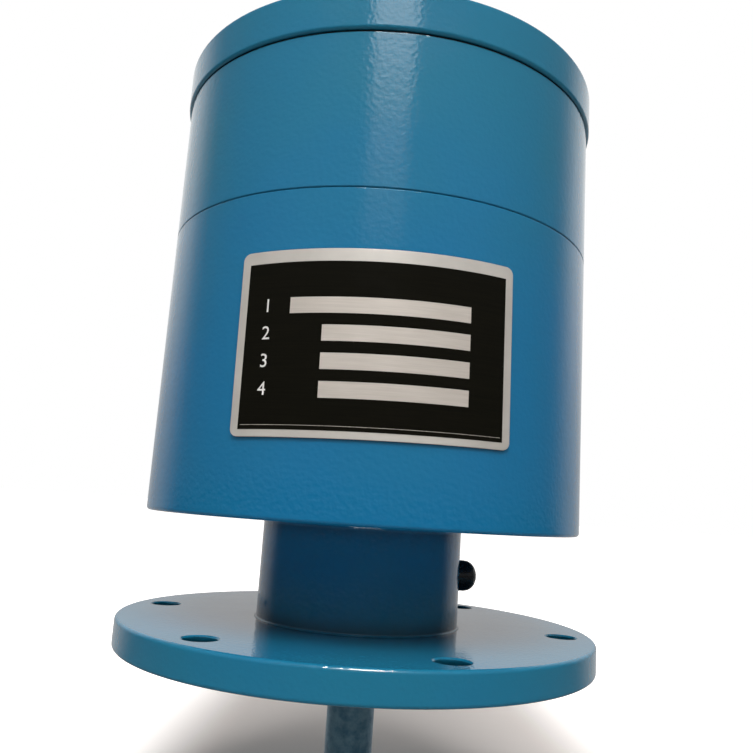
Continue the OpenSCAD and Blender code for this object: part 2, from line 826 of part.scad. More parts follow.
module trip_plunger() {
    tip_chamfer = 0.8;
    top_round = 0.6;
    groove_z = bush_top_z + touch_gap - fit_gap;
    color(bright_steel) difference() {
        turned(concat(
            [[0, plunger_z], [plunger_r - tip_chamfer, plunger_z], [plunger_r, plunger_z + tip_chamfer]],
            arc_points([plunger_r - top_round, plunger_top_z - top_round], top_round, 0, 90),
            [[0, plunger_top_z]]
        ));
        translate([0, 0, groove_z])
            tube(plunger_r + overcut, plunger_r - clip_groove, clip_t + 2 * fit_gap);
    }
}

module plunger_clip() {
    clip_out = 1.6;
    color(dark_steel) translate([0, 0, bush_top_z + touch_gap])
        snap_ring(plunger_r + clip_out, plunger_r - clip_groove, clip_t, plunger_r);
}

module switch_bracket() {
    bracket_top = switch_z + switch_h - bracket_drop;
    color(zinc_grey) difference() {
        union() {
            translate([bracket_x0, bracket_y, switch_plate_top])
                cube([bracket_l, bracket_t, bracket_top - switch_plate_top]);
            translate([bracket_x0, bracket_y, switch_plate_top])
                cube([bracket_l, bracket_t + bracket_foot, bracket_t]);
        }
        for (x = switch_hole_x) translate([x, 0, switch_hole_z]) along_y()
            cylinder(r = switch_hole_d / 2 + fit_gap, h = bracket_y + bracket_t + overcut);
        for (x = bracket_screw_x) translate([x, bracket_screw_y, switch_plate_top - extra])
            cylinder(r = bracket_screw_d / 2 + screw_gap, h = bracket_t + 2 * extra);
    }
}

module bracket_screws() {
    color(bright_steel) for (x = bracket_screw_x)
        translate([x, bracket_screw_y, switch_plate_top + bracket_t])
            pan_screw(bracket_screw_d, bracket_t + switch_plate_t);
}

module microswitch_body() {
    lug_t = 1.4;
    lug_r = 1.7;
    lug_y = switch_w / 2 - lug_t;
    color(black_plastic) difference() {
        union() {
            translate([switch_x0, -switch_w / 2, switch_z]) cube([switch_l, switch_w, switch_h]);
            for (y = [-switch_w / 2, lug_y]) translate([lever_pin_x, y, lever_pin_z]) {
                along_y() cylinder(r = lug_r, h = lug_t);
                translate([-lug_r, 0, 0]) cube([2 * lug_r, lug_t, switch_z - lever_pin_z + extra]);
            }
        }
        for (x = switch_hole_x) translate([x, -switch_w / 2 - extra, switch_hole_z]) along_y()
            cylinder(r = switch_hole_d / 2 + fit_gap, h = switch_w + 2 * extra);
        translate([lever_pin_x, -switch_w / 2 - extra, lever_pin_z]) along_y()
            cylinder(r = lever_pin_r + fit_gap, h = switch_w + 2 * extra);
        translate([button_x, 0, switch_z - extra])
            cylinder(r = button_r + run_gap, h = button_z + button_len + button_room - switch_z);
    }
}

module lever_pin() {
    color(bright_steel) translate([lever_pin_x, -switch_w / 2, lever_pin_z]) along_y()
        cylinder(r = lever_pin_r, h = switch_w);
}

module switch_button() {
    color(signal_red) translate([button_x, 0, button_z]) turned(concat(
        arc_points([0, button_r], button_r, -90, 0), [[button_r, button_len], [0, button_len]]
    ));
}

module switch_terminals() {
    color(brass_gold) for (x = tab_xs) translate([x, 0, switch_z + switch_h]) difference() {
        translate([-tab_w / 2, -tab_t / 2, 0]) cube([tab_w, tab_t, tab_h]);
        translate([0, -tab_t, tab_h - tab_hole_drop]) along_y() cylinder(r = tab_hole_r, h = 2 * tab_t);
    }
}

module switch_screws() {
    nut_h = 2.3;
    thread_out = 0.7;
    shank = switch_w + bracket_t + nut_h + thread_out;
    color(bright_steel) for (x = switch_hole_x) {
        translate([x, -switch_w / 2, switch_hole_z]) rotate([90, 0, 0]) pan_screw(switch_hole_d, shank);
        translate([x, bracket_y + bracket_t, switch_hole_z]) along_y() difference() {
            cylinder(r = switch_hole_d, h = nut_h, $fn = 6);
            translate([0, 0, -extra]) cylinder(r = switch_hole_d / 2 + fit_gap, h = nut_h + 2 * extra);
        }
    }
}

// Lever, drawn in its resting tilt about its own pin
module switch_lever() {
    knuckle_r = 1.5;
    knuckle_w = 7.1;
    fork_in = roller_w / 2 + side_gap;
    fork_t = lever_w / 2 - fork_in;
    fork_h = 1.6;
    fork_end_r = 1.4;
    fork_root = 3;
    roller_gap = 0.3;
    strip_end = lever_l - roller_r - 3 * roller_gap;
    color(bright_steel) translate([lever_pin_x, 0, lever_pin_z]) rotate([0, lever_tilt, 0]) difference() {
        union() {
            translate([0, -knuckle_w / 2, 0]) along_y() cylinder(r = knuckle_r, h = knuckle_w);
            translate([0, -lever_w / 2, -lever_t / 2]) cube([strip_end, lever_w, lever_t]);
            for (y = [-fork_in - fork_t, fork_in]) {
                translate([strip_end - fork_root, y, -lever_t / 2])
                    cube([lever_l - strip_end + fork_root, fork_t, fork_h]);
                translate([lever_l, y, 0]) along_y() cylinder(r = fork_end_r, h = fork_t);
            }
        }
        translate([0, -switch_w / 2, 0]) along_y() cylinder(r = lever_pin_r + run_gap, h = switch_w);
        translate([lever_l, -switch_w / 2, 0]) along_y() cylinder(r = lever_pin_r + fit_gap, h = switch_w);
        translate([lever_l, -fork_in, 0]) along_y() cylinder(r = roller_r + roller_gap, h = 2 * fork_in);
    }
}

module lever_roller() {
    color(black_plastic) translate([0, -roller_w / 2, roller_z]) along_y()
        tube(roller_r, lever_pin_r + run_gap, roller_w);
}

module roller_pin() {
    pin_len = lever_w + side_gap;
    color(bright_steel) translate([0, -pin_len / 2, roller_z]) along_y()
        cylinder(r = lever_pin_r, h = pin_len);
}

module terminal_block() {
    barrier_step = (block_l - barrier_t) / pole_count;
    color(cream_plastic) translate([0, block_mid_y, switch_plate_top]) difference() {
        union() {
            translate([-block_l / 2, -block_w / 2, 0]) cube([block_l, block_w, block_floor_h]);
            translate([-block_l / 2 - block_foot_l, -block_w / 2, 0])
                cube([block_l + 2 * block_foot_l, block_w, block_foot_h]);
            for (i = [0 : pole_count]) translate([-block_l / 2 + i * barrier_step, -block_w / 2, 0])
                cube([barrier_t, block_w, block_h]);
        }
        for (i = [0 : pole_count - 1]) translate([(i - (pole_count - 1) / 2) * pole_pitch, 0, 0]) {
            for (y = [-block_screw_step, block_screw_step]) translate([0, y, block_well_z])
                cylinder(r = plate_screw_d / 2 + fit_gap, h = block_h);
            translate([0, block_w / 2 - lead_hole_l, lead_in_up]) along_y()
                cylinder(r = lead_r + lead_hole_gap, h = lead_hole_l + overcut);
        }
        for (x = [-block_foot_x, block_foot_x]) translate([x, 0, -extra])
            cylinder(r = plate_screw_d / 2 + screw_gap, h = block_h);
    }
}

module terminal_screws() {
    head_z = switch_plate_top + block_floor_h;
    color(brass_gold) for (i = [0 : pole_count - 1], y = [-block_screw_step, block_screw_step])
        translate([(i - (pole_count - 1) / 2) * pole_pitch, block_mid_y + y, head_z])
            pan_screw(plate_screw_d, block_screw_len);
}

// Three insulated leads from the small switch's tabs to the terminal block
module lead_wires() {
    start_z = switch_z + switch_h + tab_h / 2 + touch_gap;
    start_y = -tab_t / 2 - fit_gap - lead_r;
    bow_out = 15;
    bow_up = 1.5;
    bow_in = 12;
    bow_low = 0.5;
    tip_in = 1.5;
    steps = 14;
    sides = 8;
    color(signal_red) for (i = [0 : 2]) {
        x0 = tab_xs[i];
        x1 = (i - (pole_count - 1) / 2) * pole_pitch;
        control = [
            [x0, start_y, start_z], [x0, -bow_out, start_z + bow_up],
            [x1, -bow_in, lead_in_z + bow_low], [x1, block_y - tip_in, lead_in_z]
        ];
        swept_tube([for (k = [0 : steps]) curve_point(control, k / steps)], lead_r, sides, [1, 0, 0]);
    }
}

module gland_body() {
    thread_y = gland_wall_y - gland_nut_t - gland_thread_out;
    stub_end = gland_stub_y + gland_stub;
    color(black_plastic) translate([0, 0, gland_z]) along_y() difference() {
        union() {
            translate([0, 0, thread_y]) cylinder(r = gland_r, h = stub_end - thread_y);
            translate([0, 0, gland_seat_y]) cylinder(r = gland_hex_r, h = gland_hex_t, $fn = 6);
        }
        translate([0, 0, thread_y - extra]) cylinder(r = cable_way_r, h = stub_end);
        translate([0, 0, gland_stub_y + gland_seat_step])
            cylinder(r = gland_r - gland_stub_wall, h = gland_stub);
    }
}

module gland_seal() {
    color(black_rubber) translate([0, gland_seal_y, gland_z]) along_y()
        tube(gland_r - gland_stub_wall - touch_gap, cable_bore_d / 2, gland_seal_l);
}

module gland_nut() {
    nut_y = gland_stub_y + gland_nut_gap;
    seal_end = gland_seal_y + gland_seal_l + touch_gap;
    dome_r = gland_hex_w / 2;
    dome_end = nut_y + gland_dome_l;
    color(black_plastic) translate([0, 0, gland_z]) along_y() difference() {
        union() {
            translate([0, 0, nut_y]) cylinder(r = gland_hex_r, h = gland_dome_l * gland_nut_hex, $fn = 6);
            turned(concat(
                [[0, nut_y], [dome_r, nut_y]],
                arc_points([dome_r, dome_end] - gland_dome_round * [1, 1], gland_dome_round, 0, 90),
                [[0, dome_end]]
            ));
        }
        translate([0, 0, nut_y - extra]) cylinder(r = gland_r + fit_gap, h = seal_end - nut_y);
        translate([0, 0, nut_y]) cylinder(r = cable_way_r, h = gland_dome_l + overcut);
    }
}

module gland_locknut() {
    color(black_plastic) translate([0, gland_wall_y - gland_nut_t, gland_z]) along_y() difference() {
        cylinder(r = gland_hex_r, h = gland_nut_t, $fn = 6);
        translate([0, 0, -extra]) cylinder(r = gland_r + fit_gap, h = gland_nut_t + 2 * extra);
    }
}

module drive_shaft() {
    clip_top = lower_bearing_z;
    clip_low = clip_top - circlip_t - 2 * fit_gap;
    groove_r = shaft_r - shaft_groove;
    end_chamfer = 1;
    flat_deep = 1;
    relief_top = -0.6;
    relief_w = 1;
    relief_low = relief_top - relief_w;
    relief_r = shaft_r - 0.25;
    pin_z = carrier_top_z + hub_h / 2;
    color(bright_steel) difference() {
        turned([
            [0, -shaft_out], [shaft_r - end_chamfer, -shaft_out], [shaft_r, end_chamfer - shaft_out],
            [shaft_r, relief_low], [relief_r, relief_low], [relief_r, relief_top], [shaft_r, relief_top],
            [shaft_r, clip_low], [groove_r, clip_low], [groove_r, clip_top], [shaft_r, clip_top],
            [shaft_r, floor_z], [shaft_collar_r, floor_z], [shaft_collar_r, carrier_z], [shaft_r, carrier_z],
            [shaft_r, shaft_top_z - end_chamfer], [shaft_r - end_chamfer, shaft_top_z], [0, shaft_top_z]
        ]);
        translate([-shaft_r, shaft_r - flat_deep, -shaft_out - extra])
            cube([shaft_d, flat_deep + overcut, flat_len]);
        translate([0, -shaft_r - overcut, pin_z]) along_y()
            cylinder(r = carrier_pin_r, h = shaft_d + 2 * overcut);
    }
}

module bearing_spacer() {
    spacer_z = lower_bearing_z + bearing_w;
    color(zinc_grey) translate([0, 0, spacer_z])
        tube(spacer_r, shaft_r + fit_gap, upper_bearing_z - spacer_z);
}

module shaft_circlip() {
    ring_w = 2.5;
    mouth = 3.5;
    inner_r = shaft_r - shaft_groove;
    color(dark_steel) translate([0, 0, lower_bearing_z - circlip_t - fit_gap])
        snap_ring(inner_r + ring_w, inner_r, circlip_t, mouth);
}

module rotor_carrier() {
    color(zinc_grey) difference() {
        union() {
            translate([0, 0, carrier_z]) cylinder(r = carrier_d / 2, h = carrier_t);
            translate([0, 0, carrier_top_z - extra]) cylinder(r = hub_r, h = hub_h + extra);
            for (side = [-1, 1], y = [-ear_in - ear_t, ear_in]) translate([side * hinge_r, y, 0]) {
                translate([0, 0, hinge_z]) along_y() cylinder(r = ear_r, h = ear_t);
                translate([-ear_r, 0, carrier_top_z - extra])
                    cube([2 * ear_r, ear_t, hinge_z - carrier_top_z + extra]);
            }
        }
        translate([0, 0, carrier_z - extra]) cylinder(r = shaft_r, h = carrier_t + hub_h + 3 * extra);
        translate([0, -hub_r - overcut, carrier_top_z + hub_h / 2]) along_y()
            cylinder(r = carrier_pin_r, h = 2 * (hub_r + overcut));
        for (side = [-1, 1]) translate([side * hinge_r, -carrier_d / 2, hinge_z]) along_y()
            cylinder(r = pin_d / 2, h = carrier_d);
        around(4, post_turn) translate([post_r, 0, carrier_z - extra])
            cylinder(r = post_screw_d / 2, h = carrier_t + 2 * extra);
    }
}

module carrier_pin() {
    color(bright_steel) translate([0, -hub_r, carrier_top_z + hub_h / 2]) along_y()
        cylinder(r = carrier_pin_r, h = 2 * hub_r);
}

module hinge_pins() {
    pin_over = 0.6;
    pin_len = 2 * (ear_in + ear_t + pin_over);
    color(bright_steel) for (side = [-1, 1])
        translate([side * hinge_r, -pin_len / 2, hinge_z]) along_y() cylinder(r = pin_d / 2, h = pin_len);
}

module rotor_posts() {
    tap_h = post_screw_len - top_plate_t + thread_end;
    color(bright_steel) around(4, post_turn) translate([post_r, 0, 0]) difference() {
        union() {
            translate([0, 0, carrier_top_z]) cylinder(r = post_d / 2, h = top_plate_z - carrier_top_z);
            translate([0, 0, carrier_z]) cylinder(r = post_screw_d / 2, h = carrier_t + extra);
        }
        translate([0, 0, top_plate_z - tap_h])
            cylinder(r = post_screw_d / 2 + fit_gap, h = tap_h + overcut);
    }
}

module rotor_top_plate() {
    color(zinc_grey) difference() {
        translate([0, 0, top_plate_z]) cylinder(r = top_plate_d / 2, h = top_plate_t);
        translate([0, 0, top_plate_z - extra]) {
            cylinder(r = adjuster_r + fit_gap, h = top_plate_t + 2 * extra);
            around(4, post_turn) translate([post_r, 0, 0])
                cylinder(r = post_screw_d / 2 + screw_gap, h = top_plate_t + 2 * extra);
        }
    }
}

module post_screws() {
    color(bright_steel) around(4, post_turn) translate([post_r, 0, top_plate_z + top_plate_t])
        pan_screw(post_screw_d, post_screw_len);
}

module adjusting_screw() {
    color(brass_gold) difference() {
        translate([0, 0, adjuster_z]) tube(adjuster_r, rod_r + rod_gap, adjuster_top_z - adjuster_z);
        translate([-adjuster_r - overcut, -adjuster_slot_w / 2, adjuster_top_z - adjuster_slot_deep])
            cube([2 * (adjuster_r + overcut), adjuster_slot_w, adjuster_slot_deep + overcut]);
    }
}

module lock_ring() {
    color(brass_gold) translate([0, 0, top_plate_z + top_plate_t]) difference() {
        tube(lock_ring_r, adjuster_r + fit_gap, lock_ring_t);
        around(4) translate([lock_ring_r - lock_notch_deep, -lock_notch_w / 2, -extra])
            cube([lock_notch_deep + overcut, lock_notch_w, lock_ring_t + 2 * extra]);
    }
}

// One flyweight: a bell crank on the +X side, its toe reaching in under the sleeve
module flyweight() {
    arm_in = 3;
    arm_l = 9;
    color(dark_steel) difference() {
        union() {
            translate([hinge_r, -arm_w / 2, hinge_z]) along_y() cylinder(r = ear_r, h = arm_w);
            translate([hinge_r - arm_in, -arm_w / 2, hinge_z]) cube([arm_l, arm_w, mass_up + extra]);
            translate([toe_tip_x, -toe_width / 2, hinge_z - toe_r]) cube([toe_len, toe_width, 2 * toe_r]);
            translate([toe_tip_x, -toe_width / 2, hinge_z]) along_y() cylinder(r = toe_r, h = toe_width);
            intersection() {
                translate([mass_in, -weight_w / 2, mass_z]) cube([weight_r, weight_w, weight_h]);
                cylinder(r = weight_r, h = mass_top_z);
            }
        }
        translate([hinge_r, -arm_w, hinge_z]) along_y() cylinder(r = pin_d / 2 + run_gap, h = 2 * arm_w);
    }
}

module flyweight_right() { flyweight(); }
module flyweight_left() { rotate([0, 0, 180]) flyweight(); }

module trip_sleeve() {
    bore_r = shaft_r + run_gap;
    flange_top = sleeve_z + sleeve_flange_t;
    top_chamfer = 1;
    color(bright_steel) difference() {
        turned([
            [0, sleeve_bore_top], [bore_r, sleeve_bore_top], [bore_r, sleeve_z], [sleeve_flange_r, sleeve_z],
            [sleeve_flange_r, flange_top], [sleeve_r, flange_top], [sleeve_r, sleeve_top_z - top_chamfer],
            [sleeve_r - top_chamfer, sleeve_top_z], [rod_r, sleeve_top_z], [rod_r, rod_top_z],
            [0, rod_top_z]
        ]);
        translate([0, 0, thrust_ball_z]) sphere(r = thrust_ball_r + fit_gap);
    }
}

module thrust_ball() {
    color(bright_steel) translate([0, 0, thrust_ball_z]) sphere(r = thrust_ball_r);
}

// Compression spring with a closed turn at each end
module governor_spring() {
    wire_r = wire_d / 2;
    low = spring_low_z + wire_r;
    high = spring_high_z - wire_r;
    closed = wire_d * 1.02;
    steps = round(spring_turns * spring_steps_per_turn);
    one = spring_steps_per_turn;
    function height(i) =
        i <= one ? low + closed * i / one
        : i >= steps - one ? high - closed * (steps - i) / one
        : low + closed + (high - low - 2 * closed) * (i - one) / (steps - 2 * one);
    color(dark_steel) swept_tube([
        for (i = [0 : steps])
            [spring_r * cos(360 * i / one), spring_r * sin(360 * i / one), height(i)]
    ], wire_r, spring_sides, [0, 0, 1]);
}

module top_cap() {
    color(paint_blue) difference() {
        turned(concat(
            [[0, cap_top_z]],
            arc_points([cap_r - edge_r, cap_top_z - edge_r], edge_r, 90, 0),
            arc_points([cap_r - edge_r, cap_z + edge_r], edge_r, 0, -90),
            [[cap_recess_r, cap_z], [cap_recess_r, cap_top_z - cap_roof_t], [0, cap_top_z - cap_roof_t]]
        ));
        around(cap_screw_count, cap_screw_turn) translate([boss_circle_r, 0, 0]) {
            translate([0, 0, cap_z - extra])
                cylinder(r = cap_screw_d / 2 + screw_gap, h = cap_h + overcut);
            translate([0, 0, cap_head_z])
                cylinder(r = socket_head_d / 2 + cap_head_gap, h = socket_head_h + overcut);
        }
    }
}

module cap_screws() {
    color(bright_steel) around(cap_screw_count, cap_screw_turn)
        translate([boss_circle_r, 0, cap_head_z]) socket_screw(cap_screw_d, cap_screw_len);
}

module cap_gasket() {
    inset = 0.4;
    color(black_rubber) translate([0, 0, upper_top_z])
        tube(drum_r - inset, drum_in + touch_gap, gasket_t);
}

base_flange();
lower_housing();
upper_housing();
nameplate();
flange_screws();
neck_lock_screw();
bearing_cartridge();
shaft_seal();
lower_bearing_outer_ring();
upper_bearing_outer_ring();
cartridge_circlip();
seam_o_ring();
housing_screws();
switch_plate();
switch_plate_screws();
guide_bush();
switch_bracket();
bracket_screws();
microswitch_body();
switch_terminals();
switch_screws();
lever_pin();
terminal_block();
terminal_screws();
lead_wires();
gland_body();
gland_seal();
gland_nut();
gland_locknut();
drive_shaft();
lower_bearing_inner_ring();
upper_bearing_inner_ring();
bearing_spacer();
shaft_circlip();
rotor_carrier();
carrier_pin();
hinge_pins();
rotor_posts();
rotor_top_plate();
post_screws();
adjusting_screw();
lock_ring();
governor_spring();
lower_bearing_balls();
lower_bearing_cage();
upper_bearing_balls();
upper_bearing_cage();
flyweight_left();
flyweight_right();
trip_sleeve();
thrust_ball();
trip_plunger();
plunger_clip();
switch_lever();
roller_pin();
lever_roller();
switch_button();
top_cap();
cap_screws();
cap_gasket();
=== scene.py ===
"""Dresses the centrifugal overspeed switch and sets it in a plain pale studio.

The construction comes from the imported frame. This file gives every part its finish, prints the
nameplate, winds the governor's spring, runs and solders the switch's leads, ribs the gland's nut, and
places the lamps and the camera. Lengths are in metres. +Z runs up the shaft from the flange's mounting
face, and -Y is the front.
"""

import json
import logging
import math
from collections.abc import Iterable, Sequence
from dataclasses import dataclass
from enum import Enum

import bmesh
import bpy
from mathutils import Matrix, Vector

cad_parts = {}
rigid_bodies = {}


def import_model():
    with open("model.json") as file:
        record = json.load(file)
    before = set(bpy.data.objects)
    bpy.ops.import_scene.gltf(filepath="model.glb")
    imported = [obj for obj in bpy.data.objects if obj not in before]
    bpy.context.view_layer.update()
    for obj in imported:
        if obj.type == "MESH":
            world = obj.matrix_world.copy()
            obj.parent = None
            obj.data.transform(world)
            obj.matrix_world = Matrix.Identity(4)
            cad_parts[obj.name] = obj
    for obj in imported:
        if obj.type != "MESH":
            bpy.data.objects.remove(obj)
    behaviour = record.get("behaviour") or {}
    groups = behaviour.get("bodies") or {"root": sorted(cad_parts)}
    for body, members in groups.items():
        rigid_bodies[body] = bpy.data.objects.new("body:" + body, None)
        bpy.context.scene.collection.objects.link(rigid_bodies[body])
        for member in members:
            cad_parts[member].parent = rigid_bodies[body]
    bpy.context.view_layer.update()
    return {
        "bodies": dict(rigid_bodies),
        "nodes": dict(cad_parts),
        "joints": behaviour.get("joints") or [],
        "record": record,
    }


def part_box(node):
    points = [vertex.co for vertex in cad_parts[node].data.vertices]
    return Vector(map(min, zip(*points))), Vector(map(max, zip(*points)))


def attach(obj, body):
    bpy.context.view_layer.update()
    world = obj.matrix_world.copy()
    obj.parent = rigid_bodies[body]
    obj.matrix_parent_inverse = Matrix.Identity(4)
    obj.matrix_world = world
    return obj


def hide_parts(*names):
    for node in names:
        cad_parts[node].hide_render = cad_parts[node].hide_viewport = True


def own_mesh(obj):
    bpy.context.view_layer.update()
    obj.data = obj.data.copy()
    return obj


log = logging.getLogger("overspeed_switch")

MM = 0.001

Colour = tuple[float, float, float]
Range = tuple[float, float]
Socket = bpy.types.NodeSocket
Value = float | Socket


def full(colour: Colour) -> tuple[float, float, float, float]:
    """Adds full opacity to a linear colour."""
    return (*colour, 1.0)


class Grain(Enum):
    """Which way the fine marks of a finish run."""

    EVEN = "even"
    TURNED = "turned"
    LEVEL = "level"


class Nodes:
    """One tree of shader nodes, with short names for the steps that materials and the world share."""

    def __init__(self, tree: bpy.types.NodeTree) -> None:
        """Takes over the nodes of a material or of the world, and empties them."""
        self.tree = tree
        tree.nodes.clear()

    def add(self, kind: str, **settings: object) -> bpy.types.Node:
        """Adds one node.

        Args:
            kind: Blender's name for the node's type.
            **settings: Properties to set on the node.

        Returns:
            The new node.
        """
        node = self.tree.nodes.new(kind)
        for key, value in settings.items():
            setattr(node, key, value)
        return node

    def link(self, source: Socket, target: Socket) -> None:
        """Joins an output to an input."""
        self.tree.links.new(source, target)

    def feed(self, target: Socket, value: object) -> None:
        """Links a socket to an input, or writes a plain value into it.

        Args:
            target: The input.
            value: A socket, a number or a colour.
        """
        if isinstance(value, Socket):
            self.link(value, target)
        else:
            target.default_value = value

    def math(self, operation: str, *values: Value) -> Socket:
        """Adds a calculation.

        Args:
            operation: Blender's name for the operation, such as MULTIPLY.
            *values: The numbers or sockets that it takes.

        Returns:
            The result's socket.
        """
        node = self.add("ShaderNodeMath", operation=operation)
        for socket, value in zip(node.inputs, values):
            self.feed(socket, value)
        return node.outputs[0]

    def split(self, vector: Socket) -> tuple[Socket, ...]:
        """Splits a vector into its x, y and z.

        Args:
            vector: The vector's socket.

        Returns:
            Three sockets.
        """
        node = self.add("ShaderNodeSeparateXYZ")
        self.link(vector, node.inputs[0])
        return tuple(node.outputs)

    def length(self, across: Socket, along: Socket) -> Socket:
        """Gives the length of two distances at a right angle."""
        squares = [self.math("POWER", side, 2.0) for side in (across, along)]
        return self.math("SQRT", self.math("ADD", *squares))

    def spread(self, value: Socket, low: float, high: float, inside: Range = (0.2, 0.8)) -> Socket:
        """Maps a value to a range, easing at both ends so that no edge shows.

        Args:
            value: The value's socket.
            low: The result at the start of the inside range.
            high: The result at its end.
            inside: The part of the value's range that is stretched to the result.

        Returns:
            The mapped value's socket.
        """
        node = self.add("ShaderNodeMapRange", interpolation_type="SMOOTHSTEP")
        self.link(value, node.inputs["Value"])
        for name, number in zip(("From Min", "From Max", "To Min", "To Max"), (*inside, low, high)):
            node.inputs[name].default_value = number
        return node.outputs["Result"]

    def mix(self, amount: Value, first: object, second: object, **settings: object) -> Socket:
        """Goes from one value to another.

        Args:
            amount: 0 for the first and 1 for the second.
            first: A number, a colour or a socket.
            second: A number, a colour or a socket.
            **settings: Properties to set on the node.

        Returns:
            The mixture's socket.
        """
        node = self.add("ShaderNodeMix", **settings)
        for name, value in zip(("Factor", "A", "B"), (amount, first, second)):
            self.feed(node.inputs[name], value)
        return node.outputs["Result"]

    def ray(self, kind: str) -> Socket:
        """Gives 1 for one kind of ray, such as Is Camera Ray, and 0 for the rest."""
        return self.add("ShaderNodeLightPath").outputs[kind]

    def shown(self) -> Socket:
        """Gives 1 for the rays that show a thing to the eye, and 0 for those that light or mirror it."""
        return self.math("MAXIMUM", self.ray("Is Camera Ray"), self.ray("Is Transmission Ray"))


class Sheet(Nodes):
    """The nodes of one material, round one surface shader."""

    # Rays that look for a sharp edge and for a narrow gap, and the openness where a gap's shade starts to
    # lift and where it is gone
    EDGE_RAYS = 4
    GAP_RAYS = 6
    OPENNESS = (0.35, 0.85)

    def __init__(self, name: str) -> None:
        """Starts a material that holds one surface shader.

        Args:
            name: The material's name.
        """
        self.material = bpy.data.materials.new(name)
        self.material.use_nodes = True
        super().__init__(self.material.node_tree)
        self.output = self.add("ShaderNodeOutputMaterial")
        self.surface = self.add("ShaderNodeBsdfPrincipled")
        self.link(self.surface.outputs[0], self.output.inputs["Surface"])

    def set(self, **values: object) -> None:
        """Sets the surface shader's own sockets.

        Args:
            **values: Socket names in lower case with underscores, and their values.
        """
        for key, value in values.items():
            name = key.replace("_", " ").title().replace("Ior", "IOR")
            self.surface.inputs[name].default_value = value

    def to_surface(self, socket: str, value: Socket) -> None:
        """Links a value to one of the surface shader's sockets."""
        self.link(value, self.surface.inputs[socket])

    def place(self, grain: Grain = Grain.EVEN, stretch: float = 12.0) -> Socket:
        """Gives the part's own coordinates, squeezed or turned so that marks run along the grain.

        Args:
            grain: Which way the marks run.
            stretch: How many times longer than wide level marks are.

        Returns:
            A vector socket, in metres across the grain.
        """
        own = self.add("ShaderNodeTexCoord").outputs["Object"]
        if grain is Grain.EVEN:
            return own
        if grain is Grain.LEVEL:
            squeeze = self.add("ShaderNodeMapping")
            squeeze.inputs["Scale"].default_value = (1.0 / stretch, 1.0 / stretch, 1.0)
            self.link(own, squeeze.inputs["Vector"])
            return squeeze.outputs[0]
        across, along, up = self.split(own)
        ring = self.add("ShaderNodeCombineXYZ")
        self.link(self.length(across, along), ring.inputs[0])
        self.link(up, ring.inputs[2])
        return ring.outputs[0]

    def height(self, low: float, high: float) -> Socket:
        """Gives 0 below the low height and 1 above the high one, with a soft step between."""
        _, _, up = self.split(self.place())
        return self.spread(up, 0.0, 1.0, (low, high))

    def noise(self, place: Socket, size: float, detail: float = 2.0, rough: float = 0.5) -> Socket:
        """Adds a cloudy value between 0 and 1.

        Args:
            place: The coordinates.
            size: How far apart the clouds are, in metres.
            detail: How many finer layers are added.
            rough: How strong the finer layers are.

        Returns:
            The value's socket.
        """
        node = self.add("ShaderNodeTexNoise")
        self.link(place, node.inputs["Vector"])
        node.inputs["Scale"].default_value = 1.0 / size
        node.inputs["Detail"].default_value = detail
        node.inputs["Roughness"].default_value = rough
        return node.outputs["Fac"]

    def between(self, amount: Socket, first: Colour, second: Colour) -> Socket:
        """Mixes two colours, from the first one at 0 to the second one at 1."""
        return self.mix(amount, full(first), full(second), data_type="RGBA")

    def scaled(self, colour: Socket, amount: Socket) -> Socket:
        """Darkens a colour.

        Args:
            colour: The colour's socket.
            amount: The share of it that stays.

        Returns:
            The darker colour's socket.
        """
        node = self.add("ShaderNodeVectorMath", operation="SCALE")
        self.link(colour, node.inputs[0])
        self.link(amount, node.inputs["Scale"])
        return node.outputs[0]

    def relief(self, height: Socket, depth: float, under: Socket | None = None) -> Socket:
        """Turns a value into relief.

        Args:
            height: The value that raises the surface.
            depth: The height of 1, in metres.
            under: The normal that the relief is added to.

        Returns:
            The new normal's socket.
        """
        node = self.add("ShaderNodeBump")
        node.inputs["Strength"].default_value = 1.0
        node.inputs["Distance"].default_value = depth
        self.link(height, node.inputs["Height"])
        if under is not None:
            self.link(under, node.inputs["Normal"])
        return node.outputs["Normal"]

    def eased_edges(self, radius: float) -> Socket:
        """Rounds the look of sharp edges.

        Args:
            radius: The rounding, in metres.

        Returns:
            The rounded normal's socket.
        """
        node = self.add("ShaderNodeBevel", samples=self.EDGE_RAYS)
        node.inputs["Radius"].default_value = radius
        return node.outputs["Normal"]

    def bores(self, reach: float, shade: float) -> Socket:
        """Paints shade into deep holes and narrow gaps, where other faces are near.

        Args:
            reach: How near other faces count, in metres.
            shade: The value deep inside a bore.

        Returns:
            A socket that is 1 in the open and falls to the shade in deep holes, narrow gaps and corners.
        """
        node = self.add("ShaderNodeAmbientOcclusion", samples=self.GAP_RAYS)
        node.inputs["Distance"].default_value = reach
        return self.spread(node.outputs["AO"], shade, 1.0, self.OPENNESS)

    def glow(self, strength: Socket) -> Socket:
        """Makes a white glow.

        Args:
            strength: How bright the glow is.

        Returns:
            The glow's shader socket.
        """
        node = self.add("ShaderNodeEmission")
        self.link(strength, node.inputs["Strength"])
        return node.outputs[0]


